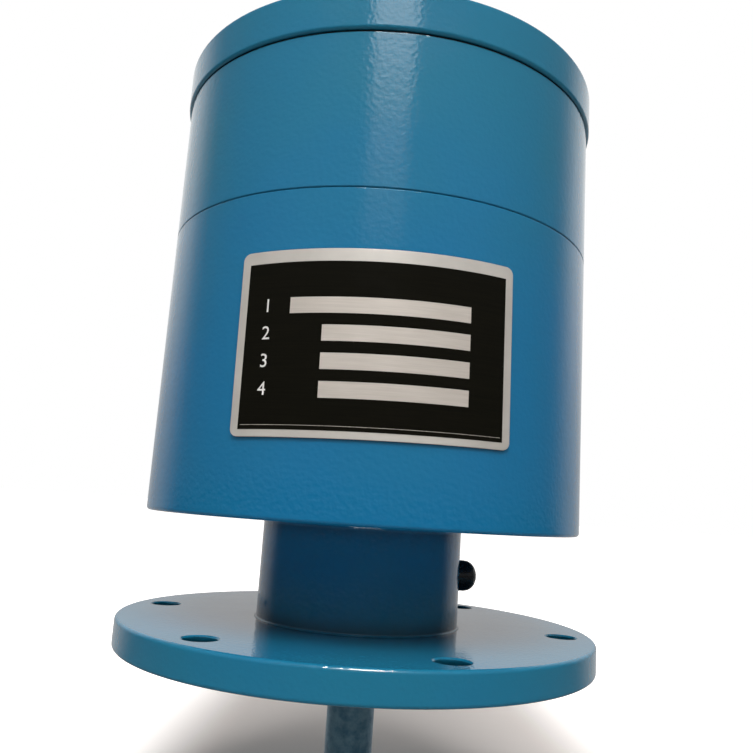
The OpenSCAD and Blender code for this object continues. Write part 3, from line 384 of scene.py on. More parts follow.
@dataclass(frozen=True)
class Enamel:
    """Glossy sprayed enamel with orange peel, greener towards the top and on the flange."""

    name: str
    low: Colour
    high: Colour
    # The heights where low fades into high, and where the flange's own touch of high fades out
    fade: Range = (60 * MM, 140 * MM)
    green_foot: Range = (4 * MM, 26 * MM)
    cloud_size: float = 30 * MM
    cloud: float = 0.25
    # Painted shade in holes and narrow gaps: how near other faces count, and the colour's share deep inside
    bore_reach: float = 8 * MM
    bore_shade: float = 0.15
    # Painted shade in the flange's bolt holes, with the colour's share below their mouths
    # The bolt circle's radius, how far the holes reach beside it, and the heights of their mouths
    bolt_circle_r: float = 52 * MM
    bolt_reach: float = 4.5 * MM
    bolt_mouth: Range = (5.7 * MM, 6.9 * MM)
    bolt_shade: float = 0.45
    peel_size: float = 1.0 * MM
    peel_depth: float = 0.047 * MM
    wave_size: float = 6 * MM
    wave_depth: float = 0.015 * MM
    edge_round: float = 0.25 * MM
    gloss_size: float = 11 * MM
    roughness: Range = (0.09, 0.14)

    def bolt_holes(self, sheet: Sheet) -> Socket:
        """Paints shade on the walls of the flange's bolt holes.

        Args:
            sheet: The enamel's sheet.

        Returns:
            A socket that is 1 outside the holes and falls to the shade below their mouths.
        """
        out, _, _ = sheet.split(sheet.place(Grain.TURNED))
        ring = sheet.math("COMPARE", out, self.bolt_circle_r, self.bolt_reach)
        below = sheet.math("SUBTRACT", 1.0, sheet.height(*self.bolt_mouth))
        lost = sheet.math("MULTIPLY", sheet.math("MULTIPLY", ring, below), 1.0 - self.bolt_shade)
        return sheet.math("SUBTRACT", 1.0, lost)

    def make(self) -> bpy.types.Material:
        """Builds the enamel, its slow drift of colour, painted shade in its holes and gaps, and its orange
        peel.

        Returns:
            The material.
        """
        sheet = Sheet(self.name)
        own = sheet.place()
        cloud = sheet.spread(sheet.noise(own, self.cloud_size), -self.cloud, self.cloud)
        foot = sheet.math("SUBTRACT", 1.0, sheet.height(*self.green_foot))
        amount = sheet.math("ADD", sheet.math("MAXIMUM", sheet.height(*self.fade), foot), cloud)
        # Painted shade darkens the colour in holes, narrow gaps and the flange's bolt holes
        bores = sheet.bores(self.bore_reach, self.bore_shade)
        shade = sheet.math("MULTIPLY", bores, self.bolt_holes(sheet))
        sheet.to_surface("Base Color", sheet.scaled(sheet.between(amount, self.low, self.high), shade))
        gloss = sheet.noise(own, self.gloss_size)
        sheet.to_surface("Roughness", sheet.spread(gloss, *self.roughness))
        wave = sheet.noise(own, self.wave_size, detail=0.0)
        normal = sheet.relief(wave, self.wave_depth, sheet.eased_edges(self.edge_round))
        peel = sheet.noise(own, self.peel_size, detail=1.0, rough=0.4)
        sheet.to_surface("Normal", sheet.relief(peel, self.peel_depth, normal))
        return sheet.material


@dataclass(frozen=True)
class Steel:
    """A bare, plated or blackened metal with machining marks."""

    name: str
    dark: Colour
    light: Colour
    grain: Grain = Grain.EVEN
    mark_size: float = 0.25 * MM
    mark_depth: float = 0.002 * MM
    roughness: Range = (0.25, 0.4)
    cloud_size: float = 6 * MM
    edge_round: float = 0.12 * MM
    metallic: float = 1.0

    def make(self) -> bpy.types.Material:
        """Builds the metal, its cloudy tone and its marks.

        Returns:
            The material.
        """
        sheet = Sheet(self.name)
        cloud = sheet.spread(sheet.noise(sheet.place(), self.cloud_size, detail=4.0, rough=0.6), 0.0, 1.0)
        sheet.to_surface("Base Color", sheet.between(cloud, self.dark, self.light))
        marks = sheet.noise(sheet.place(self.grain), self.mark_size, detail=3.0, rough=0.6)
        sheet.to_surface("Roughness", sheet.spread(marks, *self.roughness))
        sheet.to_surface("Normal", sheet.relief(marks, self.mark_depth, sheet.eased_edges(self.edge_round)))
        sheet.set(metallic=self.metallic)
        return sheet.material


@dataclass(frozen=True)
class Moulded:
    """Moulded plastic or rubber with a fine eroded texture."""

    name: str
    dark: Colour
    light: Colour
    roughness: Range = (0.4, 0.55)
    pore_size: float = 0.3 * MM
    pore_depth: float = 0.008 * MM
    cloud_size: float = 7 * MM
    gloss_size: float = 3 * MM
    edge_round: float = 0.2 * MM

    def make(self) -> bpy.types.Material:
        """Builds the plastic, its cloudy tone and its pores.

        Returns:
            The material.
        """
        sheet = Sheet(self.name)
        own = sheet.place()
        cloud = sheet.spread(sheet.noise(own, self.cloud_size, detail=3.0), 0.0, 1.0)
        sheet.to_surface("Base Color", sheet.between(cloud, self.dark, self.light))
        gloss = sheet.noise(own, self.gloss_size)
        sheet.to_surface("Roughness", sheet.spread(gloss, *self.roughness))
        pores = sheet.noise(own, self.pore_size)
        sheet.to_surface("Normal", sheet.relief(pores, self.pore_depth, sheet.eased_edges(self.edge_round)))
        return sheet.material


@dataclass(frozen=True)
class PrintInk:
    """A thin film of print on the nameplate, with its own gloss."""

    name: str
    colour: Colour
    worn: Colour
    roughness: Range
    metallic: float = 0.0
    gloss: float = 0.5
    streak_size: float = 0.35 * MM
    streak_stretch: float = 40.0
    ripple_size: float = 4 * MM
    ripple_depth: float = 0.02 * MM

    def make(self) -> bpy.types.Material:
        """Builds the film, its streaks and its slight ripple.

        Returns:
            The material.
        """
        sheet = Sheet(self.name)
        brushed = sheet.place(Grain.LEVEL, self.streak_stretch)
        streaks = sheet.spread(sheet.noise(brushed, self.streak_size, detail=3.0, rough=0.7), 0.0, 1.0)
        sheet.to_surface("Base Color", sheet.between(streaks, self.colour, self.worn))
        ripple = sheet.noise(sheet.place(), self.ripple_size)
        sheet.to_surface("Roughness", sheet.spread(ripple, *self.roughness))
        sheet.to_surface("Normal", sheet.relief(ripple, self.ripple_depth))
        sheet.set(metallic=self.metallic, specular_ior_level=self.gloss)
        return sheet.material


FINISHES = (
    Enamel("blue_enamel", (0.006, 0.157, 0.335), (0.010, 0.167, 0.284)),
    Steel(
        "plate_metal", (0.50, 0.475, 0.435), (0.605, 0.58, 0.535), Grain.LEVEL,
        mark_size=0.12 * MM, roughness=(0.34, 0.46), cloud_size=15 * MM, metallic=0.25,
    ),
    Steel(
        "black_steel", (0.004, 0.005, 0.007), (0.012, 0.014, 0.018), mark_size=0.4 * MM,
        roughness=(0.2, 0.34), metallic=0.0, edge_round=0.3 * MM,
    ),
    Steel("turned_steel", (0.40, 0.41, 0.43), (0.56, 0.57, 0.59), Grain.TURNED),
    Steel(
        "shaft_steel", (0.035, 0.13, 0.21), (0.16, 0.31, 0.40), Grain.TURNED,
        mark_size=0.3 * MM, mark_depth=0.004 * MM, roughness=(0.3, 0.5), cloud_size=2.5 * MM, metallic=0.3,
    ),
    Steel(
        "bearing_steel", (0.60, 0.61, 0.63), (0.72, 0.73, 0.75),
        mark_depth=0.0005 * MM, roughness=(0.08, 0.15),
    ),
    Steel("spring_steel", (0.16, 0.165, 0.18), (0.30, 0.31, 0.33), roughness=(0.25, 0.38)),
    Steel("weight_steel", (0.15, 0.155, 0.165), (0.26, 0.27, 0.29), roughness=(0.35, 0.5)),
    Steel("zinc_steel", (0.50, 0.53, 0.58), (0.68, 0.70, 0.72), roughness=(0.22, 0.36)),
    Steel("solder", (0.42, 0.43, 0.44), (0.60, 0.61, 0.62), mark_size=0.5 * MM, roughness=(0.15, 0.3)),
    Steel("brass", (0.55, 0.38, 0.13), (0.72, 0.53, 0.22), Grain.TURNED, roughness=(0.2, 0.34)),
    Moulded("black_rubber", (0.010, 0.010, 0.011), (0.022, 0.022, 0.023), (0.6, 0.75)),
    Moulded("black_plastic", (0.014, 0.014, 0.016), (0.026, 0.026, 0.028)),
    Moulded("cream_plastic", (0.60, 0.56, 0.44), (0.68, 0.64, 0.52), (0.35, 0.5)),
    Moulded("red_plastic", (0.40, 0.015, 0.012), (0.52, 0.03, 0.02), (0.2, 0.3)),
    Moulded("lead_insulation", (0.30, 0.015, 0.012), (0.42, 0.03, 0.02), (0.35, 0.45)),
    PrintInk("print_black", (0.0035, 0.0035, 0.0020), (0.006, 0.0055, 0.003), (0.14, 0.24), gloss=0.08),
    PrintInk("print_silver", (0.52, 0.475, 0.425), (0.61, 0.56, 0.505), (0.34, 0.44), metallic=0.25),
    PrintInk("print_white", (0.70, 0.69, 0.67), (0.78, 0.77, 0.75), (0.3, 0.4)),
)


class Palette:
    """Makes each finish once and hands it out by its name."""

    def __init__(self, finishes: Iterable[Enamel | Steel | Moulded | PrintInk]) -> None:
        """Lists the finishes, named after the record's slots or the prints, and makes none yet."""
        self.finishes = {finish.name: finish for finish in finishes}
        self.made: dict[str, bpy.types.Material] = {}

    def get(self, name: str) -> bpy.types.Material:
        """Gives a finish's material, made at its first use.

        Args:
            name: The finish's name.

        Returns:
            The material.
        """
        if name not in self.made:
            self.made[name] = self.finishes[name].make()
        return self.made[name]


def add_piece(name: str, mesh: bpy.types.Mesh) -> bpy.types.Object:
    """Puts a mesh in the scene, shaded smooth.

    Args:
        name: The piece's name.
        mesh: Its mesh.

    Returns:
        The piece.
    """
    mesh.shade_smooth()
    piece = bpy.data.objects.new(name, mesh)
    bpy.context.scene.collection.objects.link(piece)
    return piece


def solid(name: str, points: Iterable[Vector], faces: Iterable[Sequence[int]]) -> bpy.types.Object:
    """Makes a smooth mesh from points and faces and puts it in the scene.

    Args:
        name: The piece's name.
        points: The corners, in metres.
        faces: Each face's corners by number.

    Returns:
        The piece.
    """
    mesh = bpy.data.meshes.new(name)
    mesh.from_pydata([tuple(point) for point in points], [], [tuple(face) for face in faces])
    mesh.validate()
    return add_piece(name, mesh)


@dataclass(frozen=True)
class RoundBar:
    """A round bar, wire or lead that follows a path. No path runs along its up direction."""

    radius: float
    sides: int = 16
    up: tuple[float, float, float] = (0.0, 0.0, 1.0)
    # The end rings' size beside the others, which rounds the ends
    end_size: float = 0.82

    def along(self, name: str, paths: Sequence[Sequence[Vector]]) -> bpy.types.Object:
        """Sweeps the section along each path, as one piece of closed tubes.

        Args:
            name: The piece's name.
            paths: The points of each centre line.

        Returns:
            The piece.
        """
        points: list[Vector] = []
        faces: list[list[int]] = []
        for path in paths:
            first = len(points)
            last = len(path) - 1
            for i in range(last + 1):
                points += self.ring(path, i, self.end_size if i in (0, last) else 1.0)
            for i in range(last):
                faces += [[first + corner for corner in quad] for quad in self.band(i)]
            faces.append([first + k for k in reversed(range(self.sides))])
            faces.append([first + last * self.sides + k for k in range(self.sides)])
        return solid(name, points, faces)

    def ring(self, path: Sequence[Vector], i: int, size: float) -> list[Vector]:
        """Places one ring of corners square to the path.

        Args:
            path: The points of the centre line.
            i: The point that the ring goes round.
            size: The ring's size beside the bar's.

        Returns:
            The ring's corners.
        """
        way = (path[min(i + 1, len(path) - 1)] - path[max(i - 1, 0)]).normalized()
        side = way.cross(Vector(self.up)).normalized()
        over = side.cross(way)
        turns = [2 * math.pi * k / self.sides for k in range(self.sides)]
        return [path[i] + size * self.radius * (math.cos(t) * side + math.sin(t) * over) for t in turns]

    def band(self, i: int) -> list[list[int]]:
        """Gives the faces between two rings.

        Args:
            i: The first ring's number.

        Returns:
            The faces' corners, counted from the first ring's first corner.
        """
        faces = []
        for k in range(self.sides):
            here, there = i * self.sides + k, i * self.sides + (k + 1) % self.sides
            faces.append([here, there, there + self.sides, here + self.sides])
        return faces


@dataclass
class Assembly:
    """A sub-assembly: nodes of the frame that are finished together, and pieces modelled for them."""

    palette: Palette
    frame: dict
    members: tuple[str, ...] = ()

    def dress(self) -> None:
        """Gives each member the finish of its slot in the record."""
        slots = {part["node"]: part["material_slot"] for part in self.frame["record"]["subparts"]}
        for name in self.members:
            mesh = self.frame["nodes"][name].data
            mesh.materials.clear()
            mesh.materials.append(self.palette.get(slots[name]))

    def fit(
        self, piece: bpy.types.Object, finish: str, body: str, slot: str | None = None
    ) -> bpy.types.Object:
        """Gives a modelled piece its finish and the body that it rides on.

        Args:
            piece: The piece.
            finish: The finish's name.
            body: The body's name.
            slot: The record's slot that the piece belongs to, if the finish isn't a slot itself. Not used.

        Returns:
            The piece.
        """
        piece.data.materials.append(self.palette.get(finish))
        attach(piece, body)
        return piece

    def model(self) -> list[bpy.types.Object]:
        """Builds the pieces that the frame lacks or holds plainly. A sub-assembly may have none."""
        return []

    def build(self) -> None:
        """Dresses the members, builds the pieces and reports both."""
        self.dress()
        log.info("%s: %d nodes dressed", type(self).__name__, len(self.members))
        for piece in self.model():
            log.info("  %s: %d faces", piece.name, len(piece.data.polygons))


@dataclass
class PaintedHousing(Assembly):
    """The flange with its neck and drums, their screws and the seal in the seam."""

    members: tuple[str, ...] = (
        "base_flange", "flange_screws", "lower_housing", "neck_lock_screw",
        "upper_housing", "housing_screws", "seam_o_ring",
    )


@dataclass
class Cap(Assembly):
    """The painted cap, its gasket and its screws."""

    members: tuple[str, ...] = ("top_cap", "cap_gasket", "cap_screws")


@dataclass
class ShaftAndBearings(Assembly):
    """The drive shaft in its two ball bearings, their sleeve and the seal below them."""

    members: tuple[str, ...] = (
        "drive_shaft", "shaft_seal", "shaft_circlip",
        "bearing_cartridge", "cartridge_circlip", "bearing_spacer",
        "lower_bearing_outer_ring", "lower_bearing_inner_ring", "lower_bearing_balls", "lower_bearing_cage",
        "upper_bearing_outer_ring", "upper_bearing_inner_ring", "upper_bearing_balls", "upper_bearing_cage",
    )


@dataclass
class Governor(Assembly):
    """The flyweights on their carrier, the sleeve that they lift and the spring that holds it down."""

    members: tuple[str, ...] = (
        "rotor_carrier", "carrier_pin", "hinge_pins", "rotor_posts", "rotor_top_plate", "post_screws",
        "adjusting_screw", "lock_ring", "governor_spring", "flyweight_left", "flyweight_right",
        "trip_sleeve", "thrust_ball",
    )
    wire_d: float = 1.8 * MM
    # Rise of a closed end turn beside the wire's thickness
    closed_rise: float = 1.02
    turns: float = 5.5
    steps_per_turn: int = 40
    # How far the sleeve lifts, and so shortens the spring
    stroke: float = 3.665 * MM

    def wire_height(self, turn: float, length: float) -> float:
        """Gives the wire's height after a number of turns, with a closed turn at each end.

        Args:
            turn: Turns from the lower end.
            length: The height of the wire's centre line from end to end.

        Returns:
            The height above the lower end.
        """
        closed = self.wire_d * self.closed_rise
        if turn <= 1:
            return closed * turn
        if turn >= self.turns - 1:
            return length - closed * (self.turns - turn)
        return closed + (length - 2 * closed) * (turn - 1) / (self.turns - 2)

    def model(self) -> list[bpy.types.Object]:
        """Winds the spring from round wire in the place of the frame's plain one.

        Returns:
            The spring.
        """
        low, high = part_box("governor_spring")
        radius = (high.x - low.x - self.wire_d) / 2
        length = high.z - low.z - self.wire_d
        path = []
        for i in range(round(self.turns * self.steps_per_turn) + 1):
            turn = i / self.steps_per_turn
            angle = 2 * math.pi * turn
            height = low.z + self.wire_d / 2 + self.wire_height(turn, length)
            path.append(Vector((radius * math.cos(angle), radius * math.sin(angle), height)))
        wire = RoundBar(self.wire_d / 2).along("governor_spring_wire", [path])
        self.fit(wire, "spring_steel", "rotor")
        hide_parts("governor_spring")
        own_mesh(wire)
        return [wire]


@dataclass
class TripSwitch(Assembly):
    """The plunger, the small switch that it trips, and the leads to the terminal block."""

    members: tuple[str, ...] = (
        "switch_plate", "switch_plate_screws", "guide_bush", "trip_plunger", "plunger_clip",
        "switch_bracket", "bracket_screws", "microswitch_body", "switch_terminals", "switch_screws",
        "switch_lever", "lever_pin", "lever_roller", "roller_pin", "switch_button",
        "terminal_block", "terminal_screws", "lead_wires",
    )
    # Where the leads meet the tabs: in from the body's ends, out from its middle plane, up from its top
    body_l: float = 27.8 * MM
    tab_inset: float = 2.5 * MM
    tab_inset_far: float = 3.5 * MM
    tab_face: float = 0.43 * MM
    tab_middle: float = 2.6 * MM
    # The leads, and how far their bow reaches beside the tabs and beside the terminal block
    lead_r: float = 0.8 * MM
    lead_steps: int = 36
    bow_out: float = 15 * MM
    bow_up: float = 1.5 * MM
    bow_in: float = 12 * MM
    bow_low: float = 0.5 * MM
    # The terminal block's poles, and how high and how deep the leads enter them
    poles: int = 4
    pole_pitch: float = 9 * MM
    lead_in_up: float = 3.2 * MM
    lead_in_deep: float = 1.5 * MM
    # The solder, flattened against the tab and fuller to its right
    blob_r: float = 1.15 * MM
    blob_flat: float = 0.75
    blob_lean: float = 0.25
    blob_rounds: int = 3

    def tab_places(self) -> list[Vector]:
        """Finds where the leads meet the switch's three tabs.

        Returns:
            The starts of the leads' centre lines.
        """
        low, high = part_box("microswitch_body")
        middle = self.body_l / 2
        insets = (self.tab_inset, middle, self.body_l - self.tab_inset_far)
        y = -self.tab_face - self.lead_r
        return [Vector((low.x + inset, y, high.z + self.tab_middle)) for inset in insets]

    def lead_path(self, start: Vector, pole: int) -> list[Vector]:
        """Bends one lead from its tab to its pole of the terminal block.

        Args:
            start: Where the lead starts.
            pole: The pole's number, from 0.

        Returns:
            The points of the lead's centre line.
        """
        low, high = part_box("terminal_block")
        x = (pole - (self.poles - 1) / 2) * self.pole_pitch
        end = Vector((x, high.y - self.lead_in_deep, low.z + self.lead_in_up))
        bow = Vector((start.x, -self.bow_out, start.z + self.bow_up))
        drop = Vector((x, -self.bow_in, end.z + self.bow_low))
        path = []
        for k in range(self.lead_steps + 1):
            t = k / self.lead_steps
            s = 1 - t
            path.append(s**3 * start + 3 * s * s * t * bow + 3 * s * t * t * drop + t**3 * end)
        return path

    def solder(self, places: Sequence[Vector]) -> bpy.types.Object:
        """Makes a blob of solder where each lead meets its tab.

        Args:
            places: The starts of the leads.

        Returns:
            The blobs as one piece.
        """
        build = bmesh.new()
        for place in places:
            made = bmesh.ops.create_icosphere(build, subdivisions=self.blob_rounds, radius=self.blob_r)
            for vert in made["verts"]:
                vert.co.y *= self.blob_flat
                vert.co.z *= 1.0 + self.blob_lean * vert.co.x / self.blob_r
            onto = place + Vector((0.0, self.lead_r / 2, 0.0))
            bmesh.ops.translate(build, verts=made["verts"], vec=onto)
        mesh = bpy.data.meshes.new("lead_solder")
        build.to_mesh(mesh)
        build.free()
        return add_piece("lead_solder", mesh)

    def model(self) -> list[bpy.types.Object]:
        """Runs the leads in the place of the frame's plain ones, and solders them to the tabs.

        Returns:
            The leads and the solder.
        """
        places = self.tab_places()
        paths = [self.lead_path(place, pole) for pole, place in enumerate(places)]
        leads = RoundBar(self.lead_r, up=(1.0, 0.0, 0.0)).along("switch_leads", paths)
        self.fit(leads, "lead_insulation", "housing")
        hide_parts("lead_wires")
        return [leads, self.fit(self.solder(places), "solder", "housing", slot="zinc_steel")]


@dataclass
class CableEntry(Assembly):
    """The cable gland at the back of the upper drum, with grip ribs round its nut."""

    members: tuple[str, ...] = ("gland_body", "gland_seal", "gland_nut", "gland_locknut")
    ribs: int = 24
    rib_r: float = 0.35 * MM
    rib_l: float = 3.2 * MM
    # Rings along a rib, as shares of its length, close together at its rounded ends
    rib_rings: tuple[float, ...] = (1.0, 0.9, 0.1, 0.0)
    rib_sides: int = 10
    rib_end_size: float = 0.5
    # How far the ribs stay from the nut's end, and its dome's radius
    rib_end_gap: float = 4.0 * MM
    dome_r: float = 9.5 * MM

    def model(self) -> list[bpy.types.Object]:
        """Makes the ribs that a hand grips on the nut's dome.

        Returns:
            The ribs as one piece.
        """
        low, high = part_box("gland_nut")
        middle = (low.z + high.z) / 2
        end = high.y - self.rib_end_gap
        paths = []
        for i in range(self.ribs):
            angle = 2 * math.pi * (i + 0.5) / self.ribs
            spot = Vector((self.dome_r * math.cos(angle), end, middle + self.dome_r * math.sin(angle)))
            paths.append([spot + Vector((0.0, -self.rib_l * share, 0.0)) for share in self.rib_rings])
        rib = RoundBar(self.rib_r, sides=self.rib_sides, end_size=self.rib_end_size)
        return [self.fit(rib.along("gland_nut_ribs", paths), "black_plastic", "housing")]


@dataclass
class Nameplate(Assembly):
    """The curved plate and its print: a black field, silver boxes and plain row numbers."""

    members: tuple[str, ...] = ("nameplate",)
    # The print leans a little on the plate
    tilt: float = math.radians(0.8)
    # The black field, and the thin line above its foot
    field_w: float = 57.2 * MM
    field_h: float = 35.2 * MM
    field_down: float = 0.6 * MM
    line_inset: float = 0.6 * MM
    line_up: float = 0.9 * MM
    line_h: float = 0.08 * MM
    # The boxes' ends to the right of the plate's middle, and the first box's middle above it
    box_right: float = 20.1 * MM
    box_left: float = -11.0 * MM
    first_left: float = -18.2 * MM
    box_h: float = 3.4 * MM
    first_up: float = 7.6 * MM
    pitch: float = 5.85 * MM
    rows: int = 4
    # The row numbers, and the type size beside the height of a figure
    number_x: float = -23.4 * MM
    number_h: float = 3.0 * MM
    type_size: float = 1.35
    # The thickness of one film of print, and the steps that bend it round the drum
    film: float = 0.03 * MM
    bend_step: float = 1.0 * MM

    def wrap(self, along: float, up: float, lift: float) -> Vector:
        """Lays a point of the flat print on the plate.

        Args:
            along: Distance to the right of the plate's middle, round the drum.
            up: Distance above the plate's middle.
            lift: Height above the plate's face.

        Returns:
            The point in space.
        """
        low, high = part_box("nameplate")
        turned = along * math.cos(self.tilt) - up * math.sin(self.tilt)
        raised = along * math.sin(self.tilt) + up * math.cos(self.tilt)
        face = -low.y
        angle = turned / face
        radius = face + lift
        middle = (low.z + high.z) / 2
        return Vector((radius * math.sin(angle), -radius * math.cos(angle), middle + raised))

    def patch(
        self, name: str, finish: str, low: tuple[float, float], high: tuple[float, float], films: int
    ) -> bpy.types.Object:
        """Prints a thin curved rectangle.

        Args:
            name: The piece's name.
            finish: The print's finish.
            low: Its lower left corner on the flat print.
            high: Its upper right corner.
            films: How many films of print it tops.

        Returns:
            The patch.
        """
        steps = max(2, round((high[0] - low[0]) / self.bend_step))
        points = []
        for up in (low[1], high[1]):
            for i in range(steps + 1):
                along = low[0] + (high[0] - low[0]) * i / steps
                points.append(self.wrap(along, up, films * self.film))
        faces = [[i, i + 1, steps + 2 + i, steps + 1 + i] for i in range(steps)]
        return self.fit(solid(name, points, faces), finish, "housing", slot="plate_metal")

    def numeral(self, row: int, middle: float) -> bpy.types.Object:
        """Prints a plain row number beside a box.

        Args:
            row: The number.
            middle: The height of its middle above the plate's middle.

        Returns:
            The number's piece.
        """
        words = bpy.data.curves.new(f"row_number_{row}", "FONT")
        words.body = str(row)
        words.size = self.number_h * self.type_size
        words.align_x = "CENTER"
        words.align_y = "CENTER"
        flat = bpy.data.objects.new(f"row_number_{row}_flat", words)
        bpy.context.scene.collection.objects.link(flat)
        bpy.context.view_layer.update()
        mesh = bpy.data.meshes.new_from_object(flat.evaluated_get(bpy.context.evaluated_depsgraph_get()))
        corners = [self.wrap(v.co.x + self.number_x, v.co.y + middle, 2 * self.film) for v in mesh.vertices]
        faces = [list(p.vertices) for p in mesh.polygons]
        bpy.data.objects.remove(flat)
        piece = solid(f"row_number_{row}", corners, faces)
        return self.fit(piece, "print_white", "housing", slot="plate_metal")

    def model(self) -> list[bpy.types.Object]:
        """Prints the whole plate.

        Returns:
            The field, the thin line at its foot, the boxes and the row numbers.
        """
        half = self.field_w / 2
        foot = -self.field_h / 2 - self.field_down
        head = self.field_h / 2 - self.field_down
        line_low = (self.line_inset - half, foot + self.line_up)
        line_high = (half - self.line_inset, foot + self.line_up + self.line_h)
        made = [
            self.patch("nameplate_black_field", "print_black", (-half, foot), (half, head), 1),
            self.patch("nameplate_foot_line", "print_silver", line_low, line_high, 2),
        ]
        for row in range(self.rows):
            middle = self.first_up - row * self.pitch
            left = self.first_left if row == 0 else self.box_left
            low = (left, middle - self.box_h / 2)
            high = (self.box_right, middle + self.box_h / 2)
            made.append(self.patch(f"nameplate_box_{row + 1}", "print_silver", low, high, 2))
            made.append(self.numeral(row + 1, middle))
        return made


@dataclass
class Camera:
    """The camera at the photograph's viewing angle."""

    # The lens's place, and its turn to the right, its tilt up and its roll to the left in degrees, all
    # fitted to the photograph's outlines
    place: tuple[float, float, float] = (0.0, -204.7 * MM, 35.8 * MM)
    pan: float = 0.292
    tilt: float = 9.881
    roll: float = 3.751
    # The sensor's width in millimetres, and the photograph's width and focal length in its pixels
    sensor: float = 36.0
    frame_px: float = 753.0
    focal_px: float = 755.3
    clip: Range = (5 * MM, 50.0)

    def build(self) -> bpy.types.Object:
        """Sets the camera up.

        Returns:
            The camera.
        """
        data = bpy.data.cameras.new("photo_camera")
        data.sensor_width = self.sensor
        data.lens = self.sensor * self.focal_px / self.frame_px
        data.clip_start, data.clip_end = self.clip
        camera = bpy.data.objects.new("photo_camera", data)
        pose = Matrix.Translation(self.place)
        for angle, axis in ((-self.pan, "Z"), (90.0 + self.tilt, "X"), (self.roll, "Z")):
            pose = pose @ Matrix.Rotation(math.radians(angle), 4, axis)
        camera.matrix_world = pose
        bpy.context.scene.collection.objects.link(camera)
        bpy.context.scene.camera = camera
        return camera


@dataclass(frozen=True)
class Softbox:
    """One soft rectangular lamp, aimed at the switch.

    A lamp that isn't mirrored lights the switch and doesn't show in its gloss. One that doesn't light
    shows in the gloss alone.
    """

    name: str
    elevation: float
    distance: float
    size: tuple[float, float]
    radiance: float
    azimuth: float = 0.0
    mirrored: bool = True
    lights: bool = True
    target: tuple[float, float, float] = (0.0, 0.0, 0.08)

    def build(self) -> bpy.types.Object:
        """Places the lamp.

        Returns:
            The lamp.
        """
        data = bpy.data.lights.new(self.name, "AREA")
        data.shape = "RECTANGLE"
        data.size, data.size_y = self.size
        data.energy = math.pi * self.size[0] * self.size[1] * self.radiance
        lamp = bpy.data.objects.new(self.name, data)
        turn, rise = math.radians(self.azimuth), math.radians(self.elevation)
        back = Vector((math.sin(turn) * math.cos(rise), -math.cos(turn) * math.cos(rise), math.sin(rise)))
        lamp.location = Vector(self.target) + back * self.distance
        lamp.rotation_euler = (-back).to_track_quat("-Z", "Y").to_euler()
        lamp.visible_glossy = self.mirrored
        lamp.visible_diffuse = self.lights
        bpy.context.scene.collection.objects.link(lamp)
        return lamp


# A narrow bright lamp above the window, seen in gloss alone, and two broad lamps that gloss doesn't show
LAMPS = (
    Softbox(
        "tube", elevation=53.0, distance=1.0, size=(0.42, 0.12), radiance=110.0, azimuth=3.5, lights=False,
    ),
    Softbox("sky", elevation=50.0, distance=1.3, size=(1.5, 0.55), radiance=4.95, mirrored=False),
    Softbox("overhead", elevation=68.0, distance=1.2, size=(0.8, 0.8), radiance=3.1, mirrored=False),
)


